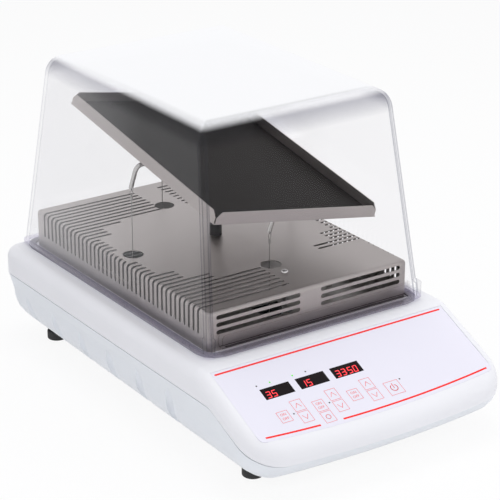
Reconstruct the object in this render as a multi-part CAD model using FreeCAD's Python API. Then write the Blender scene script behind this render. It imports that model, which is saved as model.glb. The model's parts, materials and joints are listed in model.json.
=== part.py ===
import FreeCAD, Part
import math
import os

# Incubated benchtop shaker: a heated cabinet base with a clear hinged cover over a tray
# that tilts about two axes on a central post and is pulled by four tethers.
# Millimetres. Origin: centre of the footprint on the bench. +Z up, the control panel
# faces -Y, and +X is the right-hand side seen from the front.

# Cabinet
WIDTH = 413.0
LENGTH = 680.0
WALL = 3.2
TOP_Z = 140.0
PAN_BOTTOM_Z = 12.0
CORNER_REAR = 40.0
CORNER_FRONT = 50.0
BOW_RADIUS = 1500.0
LEAST_CORNER = 12.0
SHELL_ROUND = 16.0
CREASE_RADIUS = 45.0
CORNER_CHORDS = 5
BOW_CHORDS = 6
INNER_CHORDS = 3
RIM_FACETS = 3
INNER_FACETS = 1
FLUTE_SIDES = 8
BACKING_SIDES = 4

# Parting line between the moulded shell and the lower pan
PARTING_SIDE_Z = 100.5
PARTING_FRONT_Z = 52.0
PARTING_KINK_Y = -217.0
PARTING_SLOPE = 22.5
PARTING_EASE = 6.0
GROOVE = 1.1

# Grooves moulded into the pan's sides
FLUTE_COUNT = 6
FLUTE_REAR_Y = 272.0
FLUTE_PITCH = 79.0
FLUTE_R = 10.0

# Control panel: a slope that starts at a line across the cabinet
PANEL_SLOPE = 24.0
PANEL_TOP_Y = -200.6
PANEL_TOP_Z = 134.0
OVERLAY_HALF_WIDTH = 189.5
OVERLAY_TOP = -5.0
OVERLAY_BOTTOM = 121.5
OVERLAY_BOW = 9.0
OVERLAY_T = 0.8
RECESS = 1.2
BOARD_TOP = -7.0
BOARD_T = 1.6

# Panel layout: u across from the centre, v down the slope
KEY_W = 17.3
KEY_H = 19.2
ARROW_COLUMNS = (-108.5, -53.2, 2.4)
UP_V = 82.0
DOWN_V = 102.1
ON_OFF_COLUMNS = (-135.7, -80.2, -24.5)
ON_OFF_V = 92.6
FUNCTION_V = 112.7
POWER_U = 34.6
POWER_V = 100.5
POWER_SIZE = 23.6
WINDOW_COLUMNS = (-120.4, -65.2, -10.0)
WINDOW_V = 51.2
WINDOW_W = 45.0
WINDOW_H = 18.6
LAMP_V = 35.1
LAMP_COLUMNS = (-143.1, -122.4, -86.9, -65.9)
KEY_LAMPS = ((-121.4, 92.7), (-65.4, 92.7), (50.6, 90.0))
LED_R = 1.2

# Tilting tray, its pivot and its attitude at rest
PIVOT = FreeCAD.Vector(0, 77, 280)
REST_PITCH = 10.2
REST_ROLL = 10.8
TRAY_HALF_X = 138.0
TRAY_HALF_Y = 187.0
TRAY_SHEET = 1.5
TRAY_RIM = 17.5
RIM_INSET = 2.0
RIM_CORNER = 5.0
TRAY_ABOVE_PIVOT = 29.0
MAT_T = 3.0
HUB_BOTTOM = 21.0
HUB_HALF = 45.0
HUB_SCREW = 34.0
GIMBAL_PIN_R = 4.0
CHEEK_NEAR = 11.0
CHEEK_FAR = 16.0
CHEEK_HALF = 8.0

# Tether arms under the tray, and the tethers that hang from them
ARM_REACH = 140.0
ARM_START = 24.0
ARM_R = 3.2
ARM_Z = 25.0
ARM_BEND = 12.0
ARM_SIDES = 8
PIN_SIDES = 24
BORE_SIDES = 16
EYE_Z = -10.0
EYE_R = 0.95
TIP_BELOW_EYE = 1.9
STIRRUP_IN = 4.4
STIRRUP_OUT = 5.5
STIRRUP_T = 1.2
TETHER_R = 0.7
TETHER_REACH = 124.0

# Stainless deck cover over the warm-air space
DECK_HALF_X = 163.5
DECK_FRONT = -152.6
DECK_REAR = 306.6
DECK_TOP = 195.5
DECK_SHEET = 1.0
DECK_BEND = 8.0
DECK_CORNER = 6.0
SLOT_COUNT = 38
SLOT_PITCH = 11.09
SLOT_WIDTH = 4.6
SLOT_FOOT_Z = 159.5
TETHER_HOLE_R = 14.6
TETHER_HOLE_REACH = 137.0
DECK_SCREW_Y = -92.0
REAR_SCREW_Z = 166.0

# Warm-air space under the deck
WELL_HALF_X = 150.0
WELL_FRONT = -138.0
WELL_REAR = 290.0
FLOOR_Z = 128.0
FLOOR_SHEET = 1.0
POST_R = 5.5
COLLAR_R = 8.6
COLLAR_HOLE_R = 9.1
HOLE_SIDES = 16
FRONT_SLOT_ROWS = (187.3, 176.8, 166.3)
FRONT_SLOT_COLUMNS = (-84, 84)
FRONT_SLOT_HALF = 67
FRONT_SLOT_TALL = 6
POST_SIDES = 24
STANDOFF_R = 4.0
FAN_X = 78.0
FAN_Y = 165.0
FAN_HALF = 46.0
FAN_HEIGHT = 25.0
FAN_PIN_R = 2.0

# Clear cover and its rear hinges
LID_BASE_Z = 143.3
LID_TOP_Z = 439.0
LID_WALL = 4.0
LID_BASE_HALF = 176.0
LID_TOP_HALF = 153.5
LID_BASE_FRONT = -170.5
LID_BASE_REAR = 327.5
LID_TOP_FRONT = -123.0
LID_TOP_REAR = 279.0
LID_ROUND = 28.0
LID_CHORDS = 5
LID_STEPS = 4
FLANGE = 2.6
FLANGE_T = 4.0
LIP_HALF = 157.0
LIP = 7.0
FINGER_HALF = 151.0
FINGER_LOW = 150.5
FINGER_HIGH = 166.5
FINGER_DEPTH = 5.0
HINGE_X = 110.0
HINGE_Y = 334.0
HINGE_Z = 150.0
KNUCKLE_R = 5.5
HINGE_PIN_R = 3.0
EAR_INNER = 9.0
EAR_OUTER = 14.0

# Feet and case screws
FOOT_X = 155.0
FOOT_FRONT_Y = -242.0
FOOT_REAR_Y = 273.0
FOOT_H = 10.0
CASE_SCREW_X = 172.0
CASE_SCREW_FRONT_Y = -165.0
CASE_SCREW_REAR_Y = 285.0
POST_SPLIT_Z = 60.0

# Drive and power inside the base
MOTOR_HALF = 28.0
MOTOR_LENGTH = 51.0
DRIVE_Z = 78.0
DRUM_R = 16.0
SHAFT_R = 3.2
INLET_X = 112.0
INLET_Z = 68.0
INLET_FACE_Y = 335.0

RUNNING = 0.05
GAP = 0.3

V = FreeCAD.Vector
X_AXIS = V(1, 0, 0)
Y_AXIS = V(0, 1, 0)
Z_AXIS = V(0, 0, 1)

PITCHED = FreeCAD.Placement(PIVOT, FreeCAD.Rotation(X_AXIS, REST_PITCH))
TILTED = FreeCAD.Placement(
    PIVOT, FreeCAD.Rotation(X_AXIS, REST_PITCH) * FreeCAD.Rotation(Y_AXIS, REST_ROLL))
PANEL = FreeCAD.Placement(
    V(0, PANEL_TOP_Y, PANEL_TOP_Z), FreeCAD.Rotation(X_AXIS, PANEL_SLOPE))


# Small helpers

def box(x0, y0, z0, x1, y1, z1):
    return Part.makeBox(x1 - x0, y1 - y0, z1 - z0, V(x0, y0, z0))


def rod(radius, start, end):
    along = end - start
    return Part.makeCylinder(radius, along.Length, start, along)


def flat_face(points):
    return Part.Face(Part.makePolygon(points + [points[0]]))


def prism(points, direction):
    return flat_face(points).extrude(direction)


def ring_points(centre, across, along, radius, sides):
    """Corners of a regular polygon square to a direction."""
    other = along.cross(across)
    step = 2 * math.pi / sides
    return [centre + across * (radius * math.cos((i + 0.5) * step))
            + other * (radius * math.sin((i + 0.5) * step)) for i in range(sides)]


def bar(radius, start, end, sides=6):
    """Many-sided bar, for small pieces that repeat."""
    span = end - start
    along = V(span).normalize()
    pick = X_AXIS if abs(along.x) < 0.7 else Y_AXIS
    across = (pick - along * pick.dot(along)).normalize()
    return prism(ring_points(start, across, along, radius, sides), span)


def fuse_all(shapes):
    return shapes[0].multiFuse(shapes[1:]).removeSplitter()


def group(shapes):
    return Part.makeCompound(shapes)


def line(a, b):
    return Part.makeLine(a, b)


def arc(a, m, b):
    return Part.Arc(a, m, b).toShape()


def rounded_points(x0, y0, x1, y1, radius, z, chords):
    """Corners of a rectangle whose rounded corners are a few chords each."""
    centres = ((x1 - radius, y1 - radius), (x0 + radius, y1 - radius),
               (x0 + radius, y0 + radius), (x1 - radius, y0 + radius))
    points = []
    for quarter, (x, y) in enumerate(centres):
        for step in range(chords + 1):
            angle = math.radians(90) * (quarter + step / chords)
            points.append(V(x + radius * math.cos(angle), y + radius * math.sin(angle), z))
    return points


def rectangle(x0, y0, x1, y1, z):
    return [V(x0, y0, z), V(x1, y0, z), V(x1, y1, z), V(x0, y1, z)]


def clipped(corners, cut):
    """The same rectangle with its corners cut off."""
    points = []
    for i, corner in enumerate(corners):
        before, after = corners[i - 1], corners[(i + 1) % 4]
        points.append(corner + V(before - corner).normalize() * cut)
        points.append(corner + V(after - corner).normalize() * cut)
    return points


def in_one_plane(a, b, c, d):
    normal = (b - a).cross(d - a).normalize()
    return abs(normal.dot(c - a)) < 1e-7


def stacked(levels):
    """Solid with flat faces through like outlines given from the lowest to the highest."""
    faces = [flat_face(levels[0][::-1]), flat_face(levels[-1])]
    for low, high in zip(levels, levels[1:]):
        for i in range(len(low)):
            j = (i + 1) % len(low)
            if in_one_plane(low[i], low[j], high[j], high[i]):
                faces.append(flat_face([low[i], low[j], high[j], high[i]]))
            else:
                faces.append(flat_face([low[i], low[j], high[j]]))
                faces.append(flat_face([low[i], high[j], high[i]]))
    return Part.Solid(Part.Shell(faces))


def placed(shape, placement):
    return shape.transformed(placement.toMatrix(), True)


def save(name, shape):
    shape.exportStep("parts/%s.step" % name)


# Plan outline of the cabinet: straight sides, rounded corners, bowed front

def tangent_normal(c1, r1, c2, r2):
    """Unit normal, towards +X, of the outer tangent line of two circles."""
    span = c2 - c1
    turn = math.asin((r1 - r2) / span.Length)
    along = V(span.x, span.y, 0).normalize()
    right = V(along.y, -along.x, 0)
    return right * math.cos(turn) + along * math.sin(turn)


def flip(p):
    return V(-p.x, p.y, p.z)


def outline(z, inset_front, inset_rear):
    rear_r = max(LEAST_CORNER, CORNER_REAR - inset_rear)
    rear_c = V(WIDTH / 2 - inset_rear - rear_r, LENGTH / 2 - inset_rear - rear_r, z)
    front_r = max(LEAST_CORNER, CORNER_FRONT - inset_front)
    bow_r = BOW_RADIUS - inset_front
    bow_c = V(0, -LENGTH / 2 + BOW_RADIUS, z)
    front_x = WIDTH / 2 - inset_front - front_r
    drop = math.sqrt((bow_r - front_r) ** 2 - front_x ** 2)
    front_c = V(front_x, bow_c.y - drop, z)
    side = tangent_normal(front_c, front_r, rear_c, rear_r)
    bow_dir = (front_c - bow_c).normalize()
    bow_pt = bow_c + bow_dir * bow_r
    side_front = front_c + side * front_r
    side_rear = rear_c + side * rear_r
    rear_pt = rear_c + V(0, rear_r, 0)
    front_mid = front_c + (side + bow_dir).normalize() * front_r
    rear_mid = rear_c + (side + Y_AXIS).normalize() * rear_r
    return Part.Wire([
        arc(flip(bow_pt), V(0, bow_c.y - bow_r, z), bow_pt),
        arc(bow_pt, front_mid, side_front),
        line(side_front, side_rear),
        arc(side_rear, rear_mid, rear_pt),
        line(rear_pt, flip(rear_pt)),
        arc(flip(rear_pt), flip(rear_mid), flip(side_rear)),
        line(flip(side_rear), flip(side_front)),
        arc(flip(side_front), flip(front_mid), flip(bow_pt)),
    ])


def outline_points(z, inset_front, inset_rear, corner_chords, bow_chords):
    """The same outline in straight runs: equal chords along the bow and round each corner."""
    points = []
    for edge in outline(z, inset_front, inset_rear).OrderedEdges:
        straight = edge.Curve.TypeId == "Part::GeomLine"
        bowed = not straight and edge.Curve.Radius > LENGTH
        run = edge.discretize(2 if straight else 1 + (bow_chords if bowed else corner_chords))
        points += run[:-1] if edge.Orientation == "Forward" else run[:0:-1]
    return points


def beyond(point, normal):
    """Large block on the outer side of a plane."""
    reach = 2 * LENGTH
    block = box(-reach, -reach, 0, reach, reach, 60)
    block.Placement = FreeCAD.Placement(point, FreeCAD.Rotation(Z_AXIS, normal))
    return block


def round_rim(body, ring, roofs, radius, facets):
    """Rounds the edge between upright walls and sloping roofs with a few flat facets."""
    for start, end in zip(ring, ring[1:] + ring[:1]):
        side = V(end.y - start.y, start.x - end.x, 0).normalize()
        mid_y = (start.y + end.y) / 2
        for roof_point, roof_normal, low_y, high_y in roofs:
            if not (low_y <= mid_y <= high_y or abs(side.x) > 0.99):
                continue
            along = side.cross(roof_normal)
            # Axis of the round: the same depth under the wall and the roof
            matrix = FreeCAD.Matrix(side.x, side.y, side.z, 0, roof_normal.x, roof_normal.y,
                                    roof_normal.z, 0, along.x, along.y, along.z, 0, 0, 0, 0, 1)
            depths = V(side.dot(start) - radius, roof_normal.dot(roof_point) - radius, along.dot(start))
            axis = matrix.inverse().multiply(depths)
            for step in range(facets):
                share = (step + 0.5) / facets
                normal = (side * (1 - share) + roof_normal * share).normalize()
                body = body.cut(beyond(axis + normal * radius, normal))
    return body


# Side profiles, drawn in the YZ plane beside the cabinet and swept across it

SWEEP_X = WIDTH / 2 + 40
PAST_REAR = LENGTH / 2 + 40
PAST_FRONT = -LENGTH / 2 - 60


def swept(edges):
    return Part.Face(Part.Wire(edges)).extrude(V(2 * SWEEP_X, 0, 0))


def side_point(y, z):
    return V(-SWEEP_X, y, z)


def roof(lowered, floor_z):
    """Everything under the top face and the panel slope, both lowered by an amount."""
    slope = math.radians(PANEL_SLOPE)
    top = TOP_Z - lowered
    on_slope_z = PANEL_TOP_Z - lowered / math.cos(slope)
    crease_y = PANEL_TOP_Y + (top - on_slope_z) / math.tan(slope)
    radius = CREASE_RADIUS - lowered
    back = radius * math.tan(slope / 2)
    start = side_point(crease_y + back, top)
    end = side_point(crease_y - back * math.cos(slope), top - back * math.sin(slope))
    centre = V(-SWEEP_X, crease_y + back, top - radius)
    middle = centre + V(0, -math.sin(slope / 2), math.cos(slope / 2)) * radius
    far = side_point(PAST_FRONT, top - (crease_y - PAST_FRONT) * math.tan(slope))
    return swept([
        line(side_point(PAST_REAR, top), start),
        arc(start, middle, end),
        line(end, far),
        line(far, side_point(PAST_FRONT, floor_z)),
        line(side_point(PAST_FRONT, floor_z), side_point(PAST_REAR, floor_z)),
        line(side_point(PAST_REAR, floor_z), side_point(PAST_REAR, top)),
    ])


def under_parting(raised):
    """Everything below the parting line, which may be raised or lowered."""
    slope = math.radians(PARTING_SLOPE)
    high = PARTING_SIDE_Z + raised
    low = PARTING_FRONT_Z + raised
    kink = PARTING_KINK_Y
    foot = kink - (high - low) / math.tan(slope)
    ease = PARTING_EASE
    along = V(0, math.cos(slope), math.sin(slope)) * ease
    level = V(0, ease, 0)
    bulge = V(0, math.sin(slope / 2), -math.cos(slope / 2)) * (ease * math.sin(slope / 2) / 2)
    at_kink = side_point(kink, high)
    at_foot = side_point(foot, low)
    floor = -20.0
    return swept([
        line(side_point(PAST_REAR, high), at_kink + level),
        arc(at_kink + level, at_kink + bulge, at_kink - along),
        line(at_kink - along, at_foot + along),
        arc(at_foot + along, at_foot - bulge, at_foot - level),
        line(at_foot - level, side_point(PAST_FRONT, low)),
        line(side_point(PAST_FRONT, low), side_point(PAST_FRONT, floor)),
        line(side_point(PAST_FRONT, floor), side_point(PAST_REAR, floor)),
        line(side_point(PAST_REAR, floor), side_point(PAST_REAR, high)),
    ])


# Upper shell

def shell_body(inset, corner_chords, bow_chords, facets):
    """Cabinet as a solid block with a rounded rim, its walls and roof inset by an amount."""
    floor_z = 30.0
    ring = outline_points(floor_z, inset, inset, corner_chords, bow_chords)
    body = flat_face(ring).extrude(V(0, 0, TOP_Z)).common(roof(inset, floor_z))
    slope = math.radians(PANEL_SLOPE)
    slope_normal = V(0, -math.sin(slope), math.cos(slope))
    slope_point = V(0, PANEL_TOP_Y, PANEL_TOP_Z) - slope_normal * inset
    roofs = ((V(0, 0, TOP_Z - inset), Z_AXIS, 0, LENGTH), (slope_point, slope_normal, -LENGTH, 0))
    return round_rim(body, ring, roofs, SHELL_ROUND - inset, facets)


def well_block(margin, z0, z1):
    return box(-WELL_HALF_X + margin, WELL_FRONT + margin, z0,
               WELL_HALF_X - margin, WELL_REAR - margin, z1)


def keys():
    """Name, position and size of every key on the panel."""
    found = {}
    for column, arrow_u, on_off_u in zip(("temperature", "speed", "time"),
                                         ARROW_COLUMNS, ON_OFF_COLUMNS):
        found["key_%s_on_off" % column] = (on_off_u, ON_OFF_V, KEY_W, KEY_H)
        found["key_%s_up" % column] = (arrow_u, UP_V, KEY_W, KEY_H)
        found["key_%s_down" % column] = (arrow_u, DOWN_V, KEY_W, KEY_H)
    found["key_function"] = (ON_OFF_COLUMNS[1], FUNCTION_V, KEY_W, KEY_H)
    found["key_power"] = (POWER_U, POWER_V, POWER_SIZE, POWER_SIZE)
    return found


def lamp_spots():
    return [(u, LAMP_V) for u in LAMP_COLUMNS] + list(KEY_LAMPS)


def panel_box(u, v, w, h, n0, n1):
    """A block in panel coordinates: u across, v down the slope, n out of it."""
    return box(u - w / 2, -v - h / 2, n0, u + w / 2, -v + h / 2, n1)


def panel_rods(radius, n0, n1):
    return [bar(radius, V(u, -v, n0), V(u, -v, n1)) for u, v in lamp_spots()]


def overlay_blank(n0, n1, grow):
    half = OVERLAY_HALF_WIDTH + grow
    top = -OVERLAY_TOP + grow
    low = -OVERLAY_BOTTOM - grow
    r = 10.0
    k = r * (1 - math.sqrt(0.5))
    wire = Part.Wire([
        line(V(-half, top, n0), V(half, top, n0)),
        line(V(half, top, n0), V(half, low + r, n0)),
        arc(V(half, low + r, n0), V(half - k, low + k, n0), V(half - r, low, n0)),
        arc(V(half - r, low, n0), V(0, low - OVERLAY_BOW, n0), V(-half + r, low, n0)),
        arc(V(-half + r, low, n0), V(-half + k, low + k, n0), V(-half, low + r, n0)),
        line(V(-half, low + r, n0), V(-half, top, n0)),
    ])
    return Part.Face(wire).extrude(V(0, 0, n1 - n0))


CASE_SCREWS = [(x, y) for x in (-CASE_SCREW_X, CASE_SCREW_X)
               for y in (CASE_SCREW_FRONT_Y, CASE_SCREW_REAR_Y)]
HINGES = (-HINGE_X, HINGE_X)


def upper_shell():
    outer = shell_body(0, CORNER_CHORDS, BOW_CHORDS, RIM_FACETS)
    inner = shell_body(WALL, INNER_CHORDS, BOW_CHORDS, INNER_FACETS)
    shell = outer.cut(inner).cut(under_parting(0))
    shell = shell.cut(well_block(0, TOP_Z - 20, TOP_Z + 5))
    # The overlay lies in a shallow recess, open behind the keys, windows and lamps
    deep = -WALL - 5
    openings = [overlay_blank(-RECESS, 6, GAP)]
    openings += [panel_box(u, v, w + 0.8, h + 0.8, deep, 0) for u, v, w, h in keys().values()]
    openings += [panel_box(u, WINDOW_V, WINDOW_W - 3, WINDOW_H - 3, deep, 0)
                 for u in WINDOW_COLUMNS]
    openings += panel_rods(2.0, deep, 0)
    shell = shell.cut(placed(fuse_all(openings), PANEL))
    # The hinge ears stand up through the top
    shell = shell.cut(group([box(x - EAR_OUTER, HINGE_Y - KNUCKLE_R, 118, x + EAR_OUTER,
                                 HINGE_Y + 1.5, HINGE_Z) for x in HINGES]))
    under_top = TOP_Z - WALL + 0.5
    posts = [bar(6.5, V(x, y, POST_SPLIT_Z), V(x, y, under_top)) for x, y in CASE_SCREWS]
    posts += [box(x - 6, 304, 124, x + 6, 314, under_top) for x in HINGES]
    posts += [placed(panel_box(u, v, 7, 7, BOARD_TOP, -WALL + 0.2), PANEL)
              for u in (-152, 52) for v in (66, 124)]
    shell = fuse_all([shell] + posts)
    pilots = [bar(1.7, V(x, y, POST_SPLIT_Z - 1), V(x, y, 90)) for x, y in CASE_SCREWS]
    return shell.cut(group(pilots))


# Lower pan: its wall steps in under the parting line and rolls under to a flat bottom

PAN_STATIONS = ((101.0, 0.0, 0.0), (73.0, 0.0, 7.5), (50.0, 3.5, 12.0), (33.0, 16.0, 23.0),
                (20.0, 36.0, 39.0), (12.0, 60.0, 62.0))
PAN_INNER_STATIONS = ((101.0, 0.0, 0.0), (73.0, 0.0, 7.5), (30.0, 22.0, 28.5), (12.0, 60.0, 62.0))


def pan_body(stations, inset, floor_z, corner_chords):
    return stacked([outline_points(max(z, floor_z), front + inset, rear + inset, corner_chords,
                                   BOW_CHORDS) for z, front, rear in stations[::-1]])


def flute_bar(y, side, radius, sides):
    """A sloping bar that leaves the wall above and bites deeper towards the bottom."""
    top = V(side * (WIDTH / 2 + 6.5), y + 6, 84)
    foot = V(side * (WIDTH / 2 - 24.0), y - 8, 6)
    return bar(radius, top, foot, sides)


FLUTES = [(FLUTE_REAR_Y - i * FLUTE_PITCH, side) for i in range(FLUTE_COUNT) for side in (-1, 1)]
FEET = [(x, y) for x in (-FOOT_X, FOOT_X) for y in (FOOT_FRONT_Y, FOOT_REAR_Y)]
FOOT_STEM_R = 4.0


def lower_pan():
    floor = PAN_BOTTOM_Z + WALL
    outer = pan_body(PAN_STATIONS, 0, PAN_BOTTOM_Z, CORNER_CHORDS).common(under_parting(0))
    pan = outer.cut(pan_body(PAN_INNER_STATIONS, WALL, floor, INNER_CHORDS))
    # Shadow gap under the parting line
    band = under_parting(0).cut(under_parting(-GROOVE))
    ring = outline_points(0, GROOVE, GROOVE, CORNER_CHORDS, BOW_CHORDS)
    core = flat_face(ring).extrude(V(0, 0, TOP_Z))
    pan = pan.cut(band.cut(core))
    # The wall goes round behind each flute
    inside_wall = pan_body(PAN_INNER_STATIONS, 1.0, PAN_BOTTOM_Z + 1.0, CORNER_CHORDS)
    backing = [flute_bar(y, side, FLUTE_R + WALL + 3, BACKING_SIDES).common(inside_wall)
               for y, side in FLUTES]
    feet = [box(x - 14, y - 14, FOOT_H, x + 14, y + 14, 22) for x, y in FEET]
    posts = [bar(7, V(x, y, 17), V(x, y, POST_SPLIT_Z)) for x, y in CASE_SCREWS]
    inlet_pad = box(INLET_X - 30, 318, INLET_Z - 18, INLET_X + 30, INLET_FACE_Y, INLET_Z + 18)
    rails = [box(x, 50, floor - 1, x + 6, 185, 18) for x in (-40, 100)]
    pan = fuse_all([pan, inlet_pad] + backing + feet + posts + rails)
    cutters = [flute_bar(y, side, FLUTE_R, FLUTE_SIDES) for y, side in FLUTES]
    cutters += [bar(FOOT_STEM_R, V(x, y, 0), V(x, y, 30)) for x, y in FEET]
    cutters += [bar(2.0, V(x, y, 30), V(x, y, POST_SPLIT_Z + 1)) for x, y in CASE_SCREWS]
    cutters += [bar(4.5, V(x, y, 0), V(x, y, 40)) for x, y in CASE_SCREWS]
    cutters.append(box(INLET_X - 14, 300, INLET_Z - 10.5, INLET_X + 14, 345, INLET_Z + 10.5))
    cutters.append(box(INLET_X - 26, INLET_FACE_Y, INLET_Z - 14, INLET_X + 26, 345, INLET_Z + 14))
    cutters += [box(x, -30 + i * 10, 0, x + 50, -26 + i * 10, 20)
                for x in (-110, 60) for i in range(6)]
    return pan.cut(group(cutters))


def rubber_foot(x, y):
    sides = 14
    rings = [ring_points(V(x, y, z), X_AXIS, Z_AXIS, r, sides)
             for z, r in ((0, 11.5), (1.6, 13.6), (FOOT_H, 15.0))]
    body = Part.makeLoft([Part.makePolygon(r + [r[0]]) for r in rings], True, True)
    return fuse_all([body, bar(FOOT_STEM_R, V(x, y, FOOT_H - 1), V(x, y, 26))])


def case_screw(x, y):
    return fuse_all([bar(3.6, V(x, y, 37), V(x, y, 40)), bar(1.6, V(x, y, 39), V(x, y, 74))])


# Deck cover and the warm-air space under it

def slot_y(index):
    return PIVOT.y + 0.5 + (SLOT_COUNT - 1) * SLOT_PITCH / 2 - index * SLOT_PITCH


EDGE_ONLY = 157.0
VERY_SHORT = 146.5
SHORT = 122.0
MEDIUM = 87.0


def slot_end_x(side, index):
    """Distance from the centre line at which a slot in the top stops."""
    if index <= 7:
        return 10.0 if side < 0 else 30.0
    if index == 8 or 29 <= index <= 30:
        return MEDIUM
    if index <= 11 or 26 <= index <= 28:
        return SHORT
    if 17 <= index <= 20:
        return EDGE_ONLY
    if index <= 25:
        return VERY_SHORT
    return 18.0 if side < 0 else EDGE_ONLY


TETHER_SPOTS = {"left": (-ARM_REACH, 0), "right": (ARM_REACH, 0),
                "front": (0, -ARM_REACH), "rear": (0, ARM_REACH)}


def deck_shell(inset, low, turns):
    """Box with its top edges bent over in flat facets that meet at the given turns."""
    bend = DECK_BEND - inset
    levels = [(0.0, low)]
    for turn in turns:
        angle = math.radians(turn)
        levels.append((bend * (1 - math.cos(angle)), DECK_TOP - inset - bend * (1 - math.sin(angle))))
    return stacked([clipped(rectangle(-DECK_HALF_X + inset + i, DECK_FRONT + inset + i,
                                      DECK_HALF_X - inset - i, DECK_REAR - inset - i, z),
                            DECK_CORNER)
                    for i, z in levels])


def deck_cover():
    sheet = deck_shell(0, TOP_Z, (0.0, 45.0, 90.0)).cut(deck_shell(DECK_SHEET, TOP_Z - 1, (0.0, 90.0)))
    cutters = []
    for side in (-1, 1):
        for i in range(SLOT_COUNT):
            y = slot_y(i)
            x0, x1 = sorted((side * slot_end_x(side, i), side * (DECK_HALF_X + 3)))
            cutters.append(box(x0, y - SLOT_WIDTH / 2, SLOT_FOOT_Z, x1, y + SLOT_WIDTH / 2, DECK_TOP + 3))
    # Three rows of long slots in two columns on the front
    for z in FRONT_SLOT_ROWS:
        for x in FRONT_SLOT_COLUMNS:
            half, end, tall = FRONT_SLOT_HALF, FRONT_SLOT_HALF - 2, FRONT_SLOT_TALL / 2
            lane = [V(x - half, 0, z), V(x - end, 0, z - tall), V(x + end, 0, z - tall),
                    V(x + half, 0, z), V(x + end, 0, z + tall), V(x - end, 0, z + tall)]
            cutters.append(prism([p + V(0, DECK_FRONT - 3, 0) for p in lane], V(0, 6, 0)))
    above = V(0, 0, DECK_TOP + 3)
    below = V(0, 0, DECK_TOP - 10)
    for dx, dy in TETHER_SPOTS.values():
        spot = V(dx, dy, 0) * (TETHER_HOLE_REACH / ARM_REACH) + V(0, PIVOT.y, 0)
        cutters.append(bar(TETHER_HOLE_R, spot + below, spot + above, HOLE_SIDES))
    spot = V(0, PIVOT.y, 0)
    cutters.append(bar(COLLAR_HOLE_R, spot + below, spot + above, HOLE_SIDES))
    cutters.append(bar(2.3, V(0, DECK_SCREW_Y, 0) + below, V(0, DECK_SCREW_Y, 0) + above))
    cutters.append(bar(2.3, V(0, DECK_REAR - 5, REAR_SCREW_Z), V(0, DECK_REAR + 3, REAR_SCREW_Z)))
    return sheet.cut(group(cutters))


def deck_screws():
    top = V(0, DECK_SCREW_Y, DECK_TOP)
    rear = V(0, DECK_REAR, REAR_SCREW_Z)
    front_screw = fuse_all([bar(4.8, top, top + V(0, 0, 1.6), 10), bar(3.2, top, top + V(0, 0, 2.4), 10),
                            bar(2.0, top - V(0, 0, 10), top)])
    rear_screw = fuse_all([bar(4.8, rear, rear + V(0, 1.8, 0)), bar(2.0, rear - V(0, 10, 0), rear)])
    return group([front_screw, rear_screw])


def deck_standoff():
    """Tapped pillar under the front screw."""
    top = V(0, DECK_SCREW_Y, DECK_TOP - DECK_SHEET)
    pillar = bar(STANDOFF_R, V(0, DECK_SCREW_Y, FLOOR_Z + FLOOR_SHEET), top)
    return pillar.cut(bar(2.1, top - V(0, 0, 12), top + V(0, 0, 1)))


def chamber_floor():
    top = FLOOR_Z + FLOOR_SHEET
    edge = 2.0
    flange = prism(clipped(rectangle(-DECK_HALF_X + edge, DECK_FRONT + edge, DECK_HALF_X - edge,
                                     DECK_REAR - edge, TOP_Z), DECK_CORNER), V(0, 0, FLOOR_SHEET))
    tray = well_block(GAP, FLOOR_Z, TOP_Z + FLOOR_SHEET)
    hollow = well_block(GAP + FLOOR_SHEET, top, TOP_Z + 5)
    tab = box(-12, DECK_REAR - 4, TOP_Z, 12, DECK_REAR - 1.5, REAR_SCREW_Z + 8)
    floor = fuse_all([fuse_all([flange, tray]).cut(hollow), tab])
    holes = [box(dx - 22, PIVOT.y + dy - 20, FLOOR_Z - 2, dx + 22, PIVOT.y + dy + 20, top + 1)
             for dx, dy in TETHER_SPOTS.values()]
    holes = [h.common(box(-WELL_HALF_X + 2, -400, 0, WELL_HALF_X - 2, 400, 300)) for h in holes]
    holes.append(bar(2.0, V(0, DECK_REAR - 6, REAR_SCREW_Z), V(0, DECK_REAR, REAR_SCREW_Z)))
    return floor.cut(group(holes))


def heater():
    x, y, z = -FAN_X, FAN_Y, FLOOR_Z + FLOOR_SHEET
    plate = box(x - 40, y - FAN_HALF, z, x + FAN_HALF, y + FAN_HALF, z + 4)
    fins = [box(x - 40, y - 44 + i * 11, z + 3, x + FAN_HALF, y - 42 + i * 11, z + 22)
            for i in range(9)]
    return fuse_all([plate] + fins)


def fan_frame():
    low = FLOOR_Z + FLOOR_SHEET
    centre = V(FAN_X, FAN_Y, 0)
    body = box(FAN_X - FAN_HALF, FAN_Y - FAN_HALF, low, FAN_X + FAN_HALF, FAN_Y + FAN_HALF,
               low + FAN_HEIGHT)
    body = body.cut(bar(43, centre + V(0, 0, low - 1), centre + V(0, 0, low + FAN_HEIGHT + 1), 20))
    struts = [box(FAN_X - 44, FAN_Y - 2, low, FAN_X + 44, FAN_Y + 2, low + 3),
              box(FAN_X - 2, FAN_Y - 44, low, FAN_X + 2, FAN_Y + 44, low + 3),
              bar(16, centre + V(0, 0, low), centre + V(0, 0, low + 5), 12),
              rod(FAN_PIN_R, centre + V(0, 0, low + 4), centre + V(0, 0, low + 20))]
    return fuse_all([body] + struts)


def fan_rotor():
    low = FLOOR_Z + FLOOR_SHEET + 5.5
    centre = V(FAN_X, FAN_Y, 0)
    pieces = [bar(18, centre + V(0, 0, low), centre + V(0, 0, low + 17), 12)]
    for i in range(7):
        blade = box(16, -1, 0, 41, 1, 15.5)
        blade.rotate(V(28, 0, 8), X_AXIS, 35)
        blade.rotate(V(0, 0, 0), Z_AXIS, i * 360 / 7)
        pieces.append(blade.translated(centre + V(0, 0, low + 1)))
    bore = rod(FAN_PIN_R + RUNNING, centre + V(0, 0, low - 1), centre + V(0, 0, low + 15))
    return fuse_all(pieces).cut(bore)


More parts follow.
